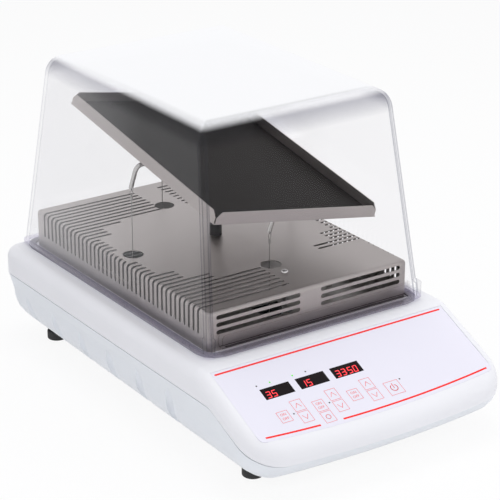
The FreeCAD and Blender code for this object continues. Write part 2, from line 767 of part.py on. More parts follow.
def temperature_probe():
    x, y = 112.0, -95.0
    stem = bar(2.5, V(x, y, 172), V(x, y + 70, 172))
    stand = box(x - 4, y + 50, FLOOR_Z + FLOOR_SHEET, x + 4, y + 54, 176)
    return fuse_all([stem, stand])


# Centre post and gimbal, drawn about the pivot

def cheek(near, far, half, reach):
    """Bearing cheek in the XZ plane from near to far along Y, its tip past the pivot."""
    away = -1 if reach > 0 else 1
    points = [V(-half, near, reach), V(half, near, reach), V(half, near, away * 3 * half / 8),
              V(half / 2, near, away * half), V(-half / 2, near, away * half),
              V(-half, near, away * 3 * half / 8)]
    return prism(points, V(0, far - near, 0))


def yoke(reach):
    """Two cheeks either side of the pivot, bored for the gimbal's pins along Y."""
    pair = [cheek(CHEEK_NEAR, CHEEK_FAR, CHEEK_HALF, reach),
            cheek(-CHEEK_FAR, -CHEEK_NEAR, CHEEK_HALF, reach)]
    return pair, rod(GIMBAL_PIN_R + RUNNING, V(0, -CHEEK_FAR - 2, 0), V(0, CHEEK_FAR + 2, 0))


def centre_post():
    floor = FLOOR_Z + FLOOR_SHEET - PIVOT.z
    head_z = -24.0
    base = box(-26, -26, floor, 26, 26, floor + 6)
    stem = bar(POST_R, V(0, 0, floor + 5), V(0, 0, head_z - 5), POST_SIDES)
    head = box(-CHEEK_HALF, -CHEEK_FAR, head_z - 6, CHEEK_HALF, CHEEK_FAR, head_z)
    cheeks, bore = yoke(head_z - 1)
    upper = fuse_all([head] + cheeks).cut(bore)
    upper.rotate(V(0, 0, 0), Z_AXIS, 90)
    return fuse_all([base, stem, upper]).translated(PIVOT)


def post_collar():
    low = DECK_TOP - PIVOT.z - 6
    ring = bar(COLLAR_R, V(0, 0, low), V(0, 0, low + 22), POST_SIDES)
    return ring.cut(bar(POST_R, V(0, 0, low - 1), V(0, 0, low + 23), POST_SIDES)).translated(PIVOT)


def gimbal_cross():
    core = box(-9, -9, -7, 9, 9, 7)
    reach = CHEEK_FAR + 0.5
    pins = [bar(GIMBAL_PIN_R, axis * 8.5, axis * reach, PIN_SIDES)
            for axis in (X_AXIS, Y_AXIS, X_AXIS * -1, Y_AXIS * -1)]
    return placed(fuse_all([core] + pins), PITCHED)


HUB_SCREWS = [(x, y) for x in (-HUB_SCREW, HUB_SCREW) for y in (-HUB_SCREW, HUB_SCREW)]


def tray_hub():
    plate = box(-HUB_HALF, -HUB_HALF, HUB_BOTTOM, HUB_HALF, HUB_HALF, TRAY_ABOVE_PIVOT)
    cheeks, bore = yoke(HUB_BOTTOM + 1)
    hub = fuse_all([plate] + cheeks).cut(bore)
    for turn in (0, 90, 180, 270):
        socket = arm_rod()
        socket.rotate(V(0, 0, 0), Z_AXIS, turn)
        hub = hub.cut(socket)
    screws = [bar(1.6, V(x, y, HUB_BOTTOM - 1), V(x, y, TRAY_ABOVE_PIVOT + 1))
              for x, y in HUB_SCREWS]
    return placed(hub.cut(group(screws)), TILTED)


def arm_rod():
    """Rod out along +X in the hub, bent down at its end."""
    bend_x = ARM_REACH - ARM_BEND
    bend_z = ARM_Z - ARM_BEND
    stations = [(V(ARM_START, 0, ARM_Z), X_AXIS)]
    for step in range(4):
        angle = math.radians(30 * step)
        centre = V(bend_x + ARM_BEND * math.sin(angle), 0, bend_z + ARM_BEND * math.cos(angle))
        stations.append((centre, V(math.cos(angle), 0, -math.sin(angle))))
    stations.append((V(ARM_REACH, 0, EYE_Z - TIP_BELOW_EYE), V(0, 0, -1)))
    rings = [ring_points(centre, Y_AXIS, along, ARM_R, ARM_SIDES) for centre, along in stations]
    return Part.makeLoft([Part.makePolygon(r + [r[0]]) for r in rings], True, True)


def tether_arm(dx, dy):
    """The rod for one side, drilled across at its tip for the stirrup's tangs."""
    body = arm_rod()
    body.rotate(V(0, 0, 0), Z_AXIS, math.degrees(math.atan2(dy, dx)))
    eye = bar(EYE_R, V(dx, dy - 8, EYE_Z), V(dx, dy + 8, EYE_Z))
    return placed(body.cut(eye), TILTED)


def eye_point(dx, dy):
    return TILTED.multVec(V(dx, dy, EYE_Z))


def stirrup(dx, dy):
    """Half ring hung in the arm's tip by two square tangs along Y."""
    corners = [math.radians(180 + 30 * i) for i in range(7)]
    t = STIRRUP_T / 2
    lift = V(0, 0, t)
    outside = [V(-t, STIRRUP_OUT * math.cos(a), STIRRUP_OUT * math.sin(a)) for a in corners]
    inside = [V(-t, STIRRUP_IN * math.cos(a), STIRRUP_IN * math.sin(a)) for a in corners]
    points = ([outside[0] + lift] + outside + [outside[-1] + lift, inside[-1] + lift]
              + inside[::-1] + [inside[0] + lift])
    hoop = prism(points, V(STIRRUP_T, 0, 0))
    tangs = [box(-t, STIRRUP_IN - 2.6, -t, t, STIRRUP_IN + 0.5, t),
             box(-t, -STIRRUP_IN - 0.5, -t, t, -STIRRUP_IN + 2.6, t)]
    at_eye = FreeCAD.Placement(eye_point(dx, dy), FreeCAD.Rotation(X_AXIS, REST_PITCH))
    return placed(fuse_all([hoop] + tangs), at_eye)


def tether(dx, dy):
    """Wire loop over the stirrup, crimp sleeve, and the wire hanging straight down."""
    outside = [V(-0.9, 0, -3.1), V(0.9, 0, -3.1), V(3.2, 0, -7.4), V(1.2, 0, -12.4),
               V(-1.2, 0, -12.4), V(-3.2, 0, -7.4)]
    inside = [V(-0.8, 0, -4.0), V(0.8, 0, -4.0), V(2.1, 0, -7.4), V(0, 0, -11.0), V(-2.1, 0, -7.4)]
    loop = prism([p - V(0, 0.5, 0) for p in outside], V(0, 1, 0))
    loop = loop.cut(prism([p - V(0, 1, 0) for p in inside], V(0, 2, 0)))
    sleeve = bar(1.7, V(0, 0, -19), V(0, 0, -12), 12)
    wire = bar(TETHER_R, V(0, 0, -TETHER_REACH), V(0, 0, -18))
    return fuse_all([loop, sleeve, wire]).translated(eye_point(dx, dy))


# Tray: a sheet tray with low rims whose ends are cut off at the corners

def rim_points(half, z):
    """Outline of one rim along a half length, standing on the plate."""
    run = half - RIM_INSET
    top = z + TRAY_RIM
    return [(-run, z), (run, z), (run, top - RIM_CORNER), (run - RIM_CORNER, top),
            (-run + RIM_CORNER, top), (-run, top - RIM_CORNER)]


def tray_pan():
    z0 = TRAY_ABOVE_PIVOT
    x, y, t = TRAY_HALF_X, TRAY_HALF_Y, TRAY_SHEET
    pieces = [box(-x, -y, z0, x, y, z0 + t)]
    for x0 in (-x, x - t):
        pieces.append(prism([V(x0, a, b) for a, b in rim_points(y, z0)], V(t, 0, 0)))
    for y0 in (-y, y - t):
        pieces.append(prism([V(a, y0, b) for a, b in rim_points(x, z0)], V(0, t, 0)))
    screws = [bar(1.8, V(sx, sy, z0 - 1), V(sx, sy, z0 + 3)) for sx, sy in HUB_SCREWS]
    return placed(fuse_all(pieces).cut(group(screws)), TILTED)


def tray_mat():
    z0 = TRAY_ABOVE_PIVOT + TRAY_SHEET
    margin = TRAY_SHEET + 0.7
    mat = box(-TRAY_HALF_X + margin, -TRAY_HALF_Y + margin, z0,
              TRAY_HALF_X - margin, TRAY_HALF_Y - margin, z0 + MAT_T)
    heads = [bar(3.5, V(x, y, z0 - 1), V(x, y, z0 + MAT_T + 1)) for x, y in HUB_SCREWS]
    return placed(mat.cut(group(heads)), TILTED)


def tray_screw(x, y):
    z0 = TRAY_ABOVE_PIVOT + TRAY_SHEET
    screw = fuse_all([bar(3.2, V(x, y, z0), V(x, y, z0 + 1.9)),
                      bar(1.6, V(x, y, HUB_BOTTOM), V(x, y, z0 + 0.5))])
    return placed(screw, TILTED)


# Clear cover, its seal and its hinges

def lid_body(inset, chords, steps):
    """Tapered cover as a solid block: rounded upright corners, the top rounded in steps."""
    radius = LID_ROUND - inset
    top = LID_TOP_Z - inset

    def level(z, shrink):
        share = (z - LID_BASE_Z) / (LID_TOP_Z - LID_BASE_Z)
        half = LID_BASE_HALF + (LID_TOP_HALF - LID_BASE_HALF) * share - inset - shrink
        front = LID_BASE_FRONT + (LID_TOP_FRONT - LID_BASE_FRONT) * share + inset + shrink
        rear = LID_BASE_REAR + (LID_TOP_REAR - LID_BASE_REAR) * share - inset - shrink
        return rounded_points(-half, front, half, rear, max(radius - shrink, 1.0), z, chords)

    levels = [level(LID_BASE_Z, 0)]
    for step in range(steps + 1):
        angle = math.radians(90 * step / steps)
        levels.append(level(top - radius * (1 - math.sin(angle)), radius * (1 - math.cos(angle))))
    return stacked(levels)


def finger_slot(grow, y0, y1):
    low, high = FINGER_LOW - grow, FINGER_HIGH + grow
    cut = (high - low) * 0.3
    half = FINGER_HALF + grow
    points = [V(-half, y0, low + cut), V(-half + cut, y0, low), V(half - cut, y0, low),
              V(half, y0, low + cut), V(half, y0, high - cut), V(half - cut, y0, high),
              V(-half + cut, y0, high), V(-half, y0, high - cut)]
    return prism(points, V(0, y1 - y0, 0))


def lid():
    flange = prism(rounded_points(-LID_BASE_HALF - FLANGE, LID_BASE_FRONT - FLANGE,
                                  LID_BASE_HALF + FLANGE, LID_BASE_REAR + FLANGE,
                                  LID_ROUND + FLANGE, LID_BASE_Z, LID_CHORDS), V(0, 0, FLANGE_T))
    lip = box(-LIP_HALF, LID_BASE_FRONT - LIP, LID_BASE_Z, LIP_HALF, LID_BASE_FRONT + 6,
              LID_BASE_Z + FLANGE_T + 1.5)
    pocket = finger_slot(LID_WALL, LID_BASE_FRONT - 5, LID_BASE_FRONT + FINGER_DEPTH + LID_WALL)
    inner = lid_body(LID_WALL, INNER_CHORDS, 2)
    body = fuse_all([lid_body(0, LID_CHORDS, LID_STEPS), flange, lip]).cut(inner.cut(pocket))
    cutters = [finger_slot(0, LID_BASE_FRONT - 5, LID_BASE_FRONT + FINGER_DEPTH)]
    cutters += [box(x - 17, LID_BASE_REAR + 0.3, LID_BASE_Z - 1, x + 17, LID_BASE_REAR + 10,
                    LID_BASE_Z + 12) for x in HINGES]
    return body.cut(group(cutters))


def lid_gasket():
    height = LID_BASE_Z - GAP - TOP_Z
    outer = prism(rounded_points(-LID_BASE_HALF - 2.4, LID_BASE_FRONT - 2.4, LID_BASE_HALF + 2.4,
                                 LID_BASE_REAR - 1.0, LID_ROUND, TOP_Z, INNER_CHORDS), V(0, 0, height))
    inner = prism(rounded_points(-LID_BASE_HALF + 8, LID_BASE_FRONT + 8, LID_BASE_HALF - 8,
                                 LID_BASE_REAR - 9, LID_ROUND - 9, TOP_Z, INNER_CHORDS), V(0, 0, height))
    return outer.cut(inner)


def hinge_bracket(x):
    back = HINGE_Y + 1.5
    front = HINGE_Y - KNUCKLE_R
    pieces = [box(x - EAR_OUTER, 300, 121, x + EAR_OUTER, back, 124)]
    for side in (-1, 1):
        x0, x1 = sorted((x + side * EAR_INNER, x + side * EAR_OUTER))
        pieces.append(box(x0, front, 123, x1, back, HINGE_Z))
        pieces.append(bar(KNUCKLE_R, V(x0, HINGE_Y, HINGE_Z), V(x1, HINGE_Y, HINGE_Z), 12))
    bore = bar(HINGE_PIN_R, V(x - 20, HINGE_Y, HINGE_Z), V(x + 20, HINGE_Y, HINGE_Z), PIN_SIDES)
    return fuse_all(pieces).cut(bore)


def hinge_leaf(x):
    lean = math.degrees(math.atan2(LID_BASE_REAR - LID_TOP_REAR, LID_TOP_Z - LID_BASE_Z))
    half = EAR_INNER - GAP
    plate = fuse_all([box(x - 18, 0.02, 15, x + 18, 2.2, 38), box(x - half, 0.02, 5, x + half, 2.2, 16)])
    plate.rotate(V(0, 0, 0), X_AXIS, lean)
    plate = plate.translated(V(0, LID_BASE_REAR, LID_BASE_Z))
    knuckle = bar(KNUCKLE_R, V(x - half, HINGE_Y, HINGE_Z), V(x + half, HINGE_Y, HINGE_Z), 12)
    tab = prism([V(x - half, LID_BASE_REAR + 0.2, HINGE_Z - 1), V(x - half, HINGE_Y, HINGE_Z - 1),
                 V(x - half, HINGE_Y, HINGE_Z + KNUCKLE_R),
                 V(x - half, LID_BASE_REAR, HINGE_Z + KNUCKLE_R + 4)], V(2 * half, 0, 0))
    body = fuse_all([plate, knuckle, tab]).cut(lid_body(0, LID_CHORDS, LID_STEPS))
    bore = rod(HINGE_PIN_R + RUNNING, V(x - 20, HINGE_Y, HINGE_Z), V(x + 20, HINGE_Y, HINGE_Z))
    return body.cut(bore)


def hinge_pin(x):
    reach = EAR_OUTER + 1
    return bar(HINGE_PIN_R, V(x - reach, HINGE_Y, HINGE_Z), V(x + reach, HINGE_Y, HINGE_Z), PIN_SIDES)


# Control panel pieces, drawn in panel coordinates

PANEL_FACE = -RECESS + OVERLAY_T


def control_overlay():
    sheet = overlay_blank(-RECESS, PANEL_FACE, 0)
    cutters = [panel_box(u, v, w + 2 * GAP, h + 2 * GAP, -3, 3) for u, v, w, h in keys().values()]
    cutters += [panel_box(u, WINDOW_V, WINDOW_W, WINDOW_H, -3, 3) for u in WINDOW_COLUMNS]
    cutters += panel_rods(LED_R, -3, 3)
    return placed(sheet.cut(group(cutters)), PANEL)


def display_windows():
    panes = [panel_box(u, WINDOW_V, WINDOW_W, WINDOW_H, -RECESS, PANEL_FACE)
             for u in WINDOW_COLUMNS]
    return placed(group(panes), PANEL)


def display_modules():
    blocks = [panel_box(u, WINDOW_V, WINDOW_W - 5, WINDOW_H - 5, BOARD_TOP, -RECESS - 0.4)
              for u in WINDOW_COLUMNS]
    return placed(group(blocks), PANEL)


def key_pad(u, v, w, h):
    pad = panel_box(u, v, w, h, -RECESS, PANEL_FACE)
    stem = panel_box(u, v, 5, 5, BOARD_TOP + 0.7, -RECESS + 0.2)
    return placed(fuse_all([pad, stem]), PANEL)


def control_board():
    under = BOARD_TOP - BOARD_T
    board = panel_box(-50, 78, 216, 104, under, BOARD_TOP)
    chips = [panel_box(-100, 80, 14, 14, under - 3, under + 0.1),
             panel_box(-20, 80, 30, 8, under - 9, under + 0.1)]
    return placed(fuse_all([board] + chips), PANEL)


def indicator_lamps():
    return placed(group(panel_rods(LED_R, BOARD_TOP, PANEL_FACE)), PANEL)


# Drive, power supply and inlet inside the base

def stepper():
    """Motor with its shaft along -X, the mounting face at x = 0."""
    body = box(0, -MOTOR_HALF, -MOTOR_HALF, MOTOR_LENGTH, MOTOR_HALF, MOTOR_HALF)
    return fuse_all([body, bar(SHAFT_R, V(-34, 0, 0), V(1, 0, 0), 12)])


def cable_drum():
    """Two-start drum on the motor's shaft."""
    pieces = [bar(DRUM_R, V(-30, 0, 0), V(-8, 0, 0), 12)]
    pieces += [bar(DRUM_R + 4, V(x, 0, 0), V(x + 2, 0, 0), 12) for x in (-30, -20, -10)]
    clear = SHAFT_R / math.cos(math.pi / BORE_SIDES) + RUNNING
    return fuse_all(pieces).cut(bar(clear, V(-40, 0, 0), V(0, 0, 0), BORE_SIDES))


PITCH_DRIVE = FreeCAD.Placement(V(46, PIVOT.y, DRIVE_Z), FreeCAD.Rotation(X_AXIS, 0))
ROLL_DRIVE = FreeCAD.Placement(V(-4, PIVOT.y + 56, DRIVE_Z), FreeCAD.Rotation(Z_AXIS, 90))


def drive_bracket():
    t = 3.0
    base = box(-40, 50, 18, 106, 185, 18 + t)
    x, y, _ = ROLL_DRIVE.Base
    pitch_plate = box(46 - t, PIVOT.y - 27, 18, 46, PIVOT.y + 30, DRIVE_Z + 30)
    roll_plate = box(x - 32, y - t, 18, x + 32, y, DRIVE_Z + 30)
    body = fuse_all([base, pitch_plate, roll_plate])
    shafts = [bar(6, V(40, PIVOT.y, DRIVE_Z), V(50, PIVOT.y, DRIVE_Z)),
              bar(6, V(x, y - 8, DRIVE_Z), V(x, y + 4, DRIVE_Z))]
    return body.cut(group(shafts))


def power_supply():
    floor = PAN_BOTTOM_Z + WALL
    case = box(-140, 181, 18, -50, 279, 58)
    vents = [box(-134 + i * 12, 205, 56.5, -130 + i * 12, 265, 59) for i in range(7)]
    feet = [box(-135, 190, floor, -125, 200, 18.5), box(-65, 252, floor, -55, 262, 18.5)]
    return fuse_all([case] + feet).cut(group(vents))


def drive_board():
    floor = PAN_BOTTOM_Z + WALL
    board = box(40, 192, 24, 140, 274, 25.6)
    parts = [box(50, 200, 25.5, 80, 230, 37), box(95, 205, 25.5, 130, 240, 33),
             bar(8, V(60, 262, 25.5), V(60, 262, 45)), bar(8, V(84, 262, 25.5), V(84, 262, 45))]
    legs = [box(x - 3, y - 3, floor, x + 3, y + 3, 24.1) for x in (46, 134) for y in (198, 266)]
    return fuse_all([board] + parts + legs)


def power_inlet():
    face = INLET_FACE_Y
    flange = box(INLET_X - 25, face, INLET_Z - 13, INLET_X + 25, face + 3, INLET_Z + 13)
    body = box(INLET_X - 14, face - 25, INLET_Z - 10.5, INLET_X + 14, face + 1, INLET_Z + 10.5)
    mouth = box(INLET_X - 12, face - 14, INLET_Z - 8.2, INLET_X + 12, face + 5, INLET_Z + 8.2)
    pins = [box(INLET_X + dx - 1, face - 15, INLET_Z + dz - 2.5, INLET_X + dx + 1, face - 2,
                INLET_Z + dz + 2.5) for dx, dz in ((-7, -2), (7, -2), (0, 3))]
    return fuse_all([fuse_all([flange, body]).cut(mouth)] + pins)


def build():
    os.makedirs("parts", exist_ok=True)
    save("lower_pan", lower_pan())
    save("upper_shell", upper_shell())
    save("rubber_feet", group([rubber_foot(x, y) for x, y in FEET]))
    save("case_screws", group([case_screw(x, y) for x, y in CASE_SCREWS]))
    save("deck_cover", deck_cover())
    save("deck_screws", deck_screws())
    save("deck_standoff", deck_standoff())
    save("chamber_floor", chamber_floor())
    save("heater", heater())
    save("fan_frame", fan_frame())
    save("fan_rotor", fan_rotor())
    save("temperature_probe", temperature_probe())
    save("centre_post", centre_post())
    save("post_collar", post_collar())
    save("gimbal_cross", gimbal_cross())
    save("tray_hub", tray_hub())
    for place, (dx, dy) in TETHER_SPOTS.items():
        save("tether_arm_" + place, tether_arm(dx, dy))
        save("stirrup_" + place, stirrup(dx, dy))
        save("tether_" + place, tether(dx, dy))
    save("tray_pan", tray_pan())
    save("tray_mat", tray_mat())
    save("tray_screws", group([tray_screw(x, y) for x, y in HUB_SCREWS]))
    save("lid", lid())
    save("lid_gasket", lid_gasket())
    save("hinge_leaves", group([hinge_leaf(x) for x in HINGES]))
    save("hinge_brackets", group([hinge_bracket(x) for x in HINGES]))
    save("hinge_pins", group([hinge_pin(x) for x in HINGES]))
    save("control_overlay", control_overlay())
    save("display_windows", display_windows())
    save("display_modules", display_modules())
    for name, (u, v, w, h) in keys().items():
        save(name, key_pad(u, v, w, h))
    save("control_board", control_board())
    save("indicator_lamps", indicator_lamps())
    save("pitch_motor", placed(stepper(), PITCH_DRIVE))
    save("roll_motor", placed(stepper(), ROLL_DRIVE))
    save("pitch_drum", placed(cable_drum(), PITCH_DRIVE))
    save("roll_drum", placed(cable_drum(), ROLL_DRIVE))
    save("drive_bracket", drive_bracket())
    save("power_supply", power_supply())
    save("drive_board", drive_board())
    save("power_inlet", power_inlet())


build()
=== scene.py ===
import json
import math

import bmesh
import bpy
from mathutils import Matrix, Vector


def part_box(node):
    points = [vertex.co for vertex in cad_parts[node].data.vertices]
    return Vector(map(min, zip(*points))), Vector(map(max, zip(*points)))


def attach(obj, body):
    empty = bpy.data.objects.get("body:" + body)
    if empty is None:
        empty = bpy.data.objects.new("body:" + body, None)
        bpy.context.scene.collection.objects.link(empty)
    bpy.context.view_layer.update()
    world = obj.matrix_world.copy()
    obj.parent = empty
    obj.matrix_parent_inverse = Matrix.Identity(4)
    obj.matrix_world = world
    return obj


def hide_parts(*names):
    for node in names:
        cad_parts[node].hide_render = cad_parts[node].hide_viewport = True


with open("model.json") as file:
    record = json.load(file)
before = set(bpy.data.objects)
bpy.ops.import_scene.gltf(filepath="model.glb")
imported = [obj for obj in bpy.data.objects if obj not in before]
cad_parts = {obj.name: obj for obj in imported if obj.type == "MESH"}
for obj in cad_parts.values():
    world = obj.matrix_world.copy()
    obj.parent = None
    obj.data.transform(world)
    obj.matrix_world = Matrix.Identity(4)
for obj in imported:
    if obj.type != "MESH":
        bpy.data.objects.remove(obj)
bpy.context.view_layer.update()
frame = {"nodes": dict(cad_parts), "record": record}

# Looks of an incubated benchtop shaker. Metres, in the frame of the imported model.

MM = 0.001

# Cabinet
WIDTH = 0.413
LENGTH = 0.680
WALL = 0.0032
TOP_Z = 0.140
SHELL_FOOT_Z = 0.030
CORNER_REAR = 0.026
CORNER_FRONT = 0.050
LEAST_CORNER = 0.012
BOW_RADIUS = 1.500
SHELL_ROUND = 0.016
CREASE_RADIUS = 0.045
PARTING_Z = 0.1005
PARTING_FRONT_Z = 0.052
PARTING_EASE = 0.006
PARTING_KINK_Y = -0.217
PARTING_SLOPE = math.radians(22.5)
GAP_HEIGHT = 0.0016
BEYOND_X, BEYOND_Y, BENEATH = 0.3, 0.5, -0.1
BOW_STEPS = 16
CORNER_STEPS = 14
PAN_BOTTOM_Z = 0.012
PAN_WALL_TOP_Z = 0.101
PAN_WALL_FOOT_Z = 0.073
PAN_LEAN = 0.0075
PAN_TURN_R = 0.061
PAN_TURN_STEPS = 10
# The front sweeps back under this height, by a rate times a power of the drop, in millimetres
PROW_START = 62
PROW_RATE = 0.007
PROW_POWER = 2.3
WELL_LOW = (-0.150, -0.138)
WELL_HIGH = (0.150, 0.290)
WELL_ROUND = 0.006
WELL_DOWN, WELL_UP = 0.02, 0.01
FLUTE_YS = [0.272 - i * 0.079 for i in range(6)]
FLUTE_R = 0.010
FLUTE_OUT, FLUTE_IN = 0.0065, 0.024
FLUTE_AHEAD, FLUTE_BEHIND = 0.006, 0.008
FLUTE_HEAD_Z, FLUTE_FOOT_Z = 0.084, 0.006
FEET_X = 0.155
FEET_YS = (-0.242, 0.273)
FEET_R = 0.0145
FEET_EDGE = 0.0018
FEET_SUNK = 0.001

# Panel
PANEL_SLOPE = math.radians(24)
PANEL_TOP = Vector((0, -0.2006, 0.134))
PANEL = Matrix.Translation(PANEL_TOP) @ Matrix.Rotation(PANEL_SLOPE, 4, "X")
OVERLAY_HALF = 0.1895
OVERLAY_TOP = 0.005
OVERLAY_LOW = -0.1215
OVERLAY_BOW = 0.009
OVERLAY_ROUND = 0.010
OVERLAY_EDGE = 0.0001
OVERLAY_FACE = -0.0004
OVERLAY_BACK = -0.0012
RECESS_TOP = 0.004
RECESS_PLAY = 0.0003
RELIEF_DEPTH = 0.0002
RELIEF_PLAY = 0.0009
PRINT_T = 0.00006
LINE_W = 0.0027
LINE_ROUND = 0.49
KEY_INSET = 0.0006
KEY_LINE = 0.00055
ARROW_HALF = 0.0042
ARROW_FOOT = 0.0030
ARROW_TIP = 0.0038
ARROW_LINE = 0.0007
WORD_SIZE = 0.0058
WORD_OFFSET = 0.0035
POWER_R = 0.0052
POWER_LINE = 0.0011
POWER_BAR_HEAD, POWER_BAR_FOOT = 0.0072, 0.0002
CIRCLE_R = 0.0034
CIRCLE_LINE = 0.0008
FIGURE_W, FIGURE_H = 0.0052, 0.0098
FIGURE_PITCH = 0.0088
FIGURE_LEAN = 0.12
FIGURE_LINE = 0.00125
FIGURE_GAP = 0.00055
FIGURES_IN, FIGURES_UP = 0.0045, 0.0022
COLON_W = 0.0012
COLON_LINE = 0.0010
COLON_LEFT, COLON_RIGHT = 0.0022, 0.0019
OVERLAY_COLOUR = (0.80, 0.785, 0.875)
GLASS_FACE = OVERLAY_FACE
DIGIT_T = 0.0001
KEY_W, KEY_H = 0.0173, 0.0192
KEYS = {}
for column, arrow_u, on_off_u in (("temperature", -0.1085, -0.1357), ("speed", -0.0532, -0.0802),
                                  ("time", 0.0024, -0.0245)):
    KEYS["key_" + column + "_on_off"] = (on_off_u, 0.0926, KEY_W, KEY_H)
    KEYS["key_" + column + "_up"] = (arrow_u, 0.082, KEY_W, KEY_H)
    KEYS["key_" + column + "_down"] = (arrow_u, 0.1021, KEY_W, KEY_H)
KEYS["key_function"] = (-0.0802, 0.1127, KEY_W, KEY_H)
KEYS["key_power"] = (0.0346, 0.1005, 0.0236, 0.0236)
WINDOWS = [(u, 0.0512, 0.045, 0.0186) for u in (-0.1204, -0.0652, -0.0100)]
LAMPS = [(-0.1431, 0.0351), (-0.1224, 0.0351), (-0.0869, 0.0351), (-0.0659, 0.0351),
         (-0.1214, 0.0927), (-0.0654, 0.0927), (0.0506, 0.0900)]
LAMP_R = 0.0012
LAMP_FLAT = 0.4
LAMP_SUNK = 0.0003

# Tray
PIVOT = Vector((0, 0.077, 0.280))
REST_PITCH = math.radians(10.2)
REST_ROLL = math.radians(10.8)
PITCHED = Matrix.Translation(PIVOT) @ Matrix.Rotation(REST_PITCH, 4, "X")
TILTED = PITCHED @ Matrix.Rotation(REST_ROLL, 4, "Y")
TRAY_HALF = Vector((0.138, 0.187, 0))
TRAY_LOW = 0.029
TRAY_SHEET = 0.0015
TRAY_RIM = 0.0175
TRAY_NOTCH = 0.002
TRAY_CHAMFER = 0.0055
TRAY_CHAMFER_SLIM = 0.75
TRAY_EDGE = 0.0004
MAT_T = 0.003
MAT_GAP = 0.0007
MAT_CORNER = 0.003
MAT_EDGE = 0.0008
ARM_START = 0.020
ARM_REACH = 0.140
ARM_Z = 0.025
ARM_R = 0.0032
ARM_BEND = 0.012
ARM_BELOW_EYE = 0.0019
EYE_Z = -0.010
HOOP_R = 0.0050
HOOP_WIRE_R = 0.0006
HOOP_LEG = 0.0024
HOOP_BEND = 0.0005
LOOP_WIRE_R = 0.0005
LOOP_HALF = 0.0026
LOOP_GAP = 0.0004
LOOP_BEND = 0.0016
LOOP_TOP, LOOP_MIDDLE, LOOP_FOOT = -0.0036, -0.0074, -0.0122
SLEEVE_R = 0.0017
SLEEVE_TOP, SLEEVE_FOOT = -0.012, -0.019
SLEEVE_EDGE = 0.0004
WIRE_R = 0.0007
WIRE_TOP, WIRE_FOOT = -0.018, -0.124
BEND_PULL = 0.6
RUN_SHARE = 0.49
PLACES = {"left": (-1, 0), "right": (1, 0), "front": (0, -1), "rear": (0, 1)}

# Deck and cover
DECK_HALF_X = 0.1635
DECK_FRONT = -0.1526
DECK_REAR = 0.3066
DECK_TOP = 0.1955
DECK_CORNER = 0.006
DECK_FOLD = 0.0055
DECK_SHEET = 0.001
# Slots from the rear: how many, and how far from the centre line the left and the right ones start
SLOT_GROUPS = [(8, 0.010, 0.030), (1, 0.087, 0.087), (3, 0.122, 0.122), (5, 0.1465, 0.1465),
               (4, 0.157, 0.157), (5, 0.1465, 0.1465), (3, 0.122, 0.122), (2, 0.087, 0.087),
               (7, 0.018, 0.157)]
SLOT_STARTS = [(left, right) for count, left, right in SLOT_GROUPS for _ in range(count)]
SLOT_PITCH = 0.01109
SLOT_HALF = 0.0023
SLOT_ROUND = 0.00225
SLOT_END_X = 0.180
SLOT_FOOT_Z, SLOT_HEAD_Z = 0.1595, 0.215
LANE_HALF = (0.067, 0.008, 0.003)
LANE_ROUND = 0.00295
LANE_X = 0.084
LANE_ZS = (0.1873, 0.1768, 0.1663)
WIRE_HOLE_R = 0.0146
WIRE_HOLE_REACH = 0.137
POST_HOLE_R = 0.0091
DRILL_BELOW, DRILL_ABOVE = 0.004, 0.02
COLLAR_R = 0.0086
COLLAR_BORE_R = 0.0055
COLLAR_EDGE = 0.0008
SCREW_R = 0.0048
SCREW_Y = -0.092
SCREW_TALL = 0.0024
SCREW_DOME = 0.0020
SCREW_SOCKET_R = 0.0014
SCREW_SOCKET_DEEP = 0.0012
REAR_SCREW_Z = 0.166
REAR_SCREW_TALL = 0.0018
REAR_SCREW_EDGE = 0.0006
LID_LOW = (-0.176, -0.1705, 0.176, 0.3275, 0.1433)
LID_HIGH = (-0.1535, -0.123, 0.1535, 0.279, 0.439)
LID_ROUND = 0.028
LID_WALL = 0.004
LID_CORNER = 0.010
LEAST_LID_CORNER = 0.0008
LID_STEPS = 12
FLANGE_OUT = 0.0026
FLANGE_T = 0.004
FLANGE_EDGE = 0.0008
LIP_HALF = 0.157
LIP_OUT = 0.007
LIP_IN = 0.006
LIP_T = 0.0055
LIP_ROUND = 0.005
LIP_EDGE = 0.0009
CLEAT_X = 0.1695
CLEAT_HALF = 0.0075
CLEAT_OUT, CLEAT_IN = 0.0015, 0.016
CLEAT_TALL = 0.024
CLEAT_ROUND = 0.0055
CLEAT_EDGE = 0.0015
FINGER_HALF = 0.151
FINGER_LOW, FINGER_HIGH = 0.1505, 0.1665
FINGER_ROUND = 0.0065
FINGER_DEPTH = 0.005
LEAF_X = 0.110
LEAF_HALF = 0.017
LEAF_OUT = 0.010
LEAF_TALL = 0.012
LEAF_FREE, LEAF_UNDER = 0.0003, 0.001

# Where the clear cover's painted shade and painted top reflection start and end, from its corners, its
# top and its finger recess
PAINTED_CORNER_SHADE = (0.00015, 0.00309)
PAINTED_TOP_REFLECTION = (0.0105, 0.00425)
PAINTED_SHOULDER_SHADE = (0.035, 0.0128)
TINT_BLUR = 0.0007
TINT_PLAY = 0.0003
RECESS_WALL_TINT = (0.0020, 0.0025)
RECESS_SIDE, LEDGE_SIDE, STEP_SIDE = 0.001, 0.0075, 0.0025
PAINTED_STEP_LINE = 0.0006
# The painted sheen rises towards the rear between these places
PAINTED_REAR_SHEEN = (0.02, 0.3141)

# Camera
TARGET = Vector((0.06843, 0.09099, 0.150))
DISTANCE = 2.9011
AZIMUTH = math.radians(34.38)
LOOK_DOWN = math.radians(22.18)
FOCAL = 143.93

# Room: share of the floor's shading that gives way to white, and the lamps' sizes, places and power
FLOOR_WHITE = 0.90
FLOOR_SIZE = 12
WORLD_LIGHT = 0.50
LIT_PLACE = (0, 0.05, 0.2)
STUDIO = [("overhead", (1.6, 1.6), (0.2, 0.3, 2.2), 24),
          ("left_front", (1.2, 1.4), (-1.9, -1.3, 1.2), 14),
          ("right_front", (1.0, 1.2), (1.6, -1.8, 1.1), 16)]

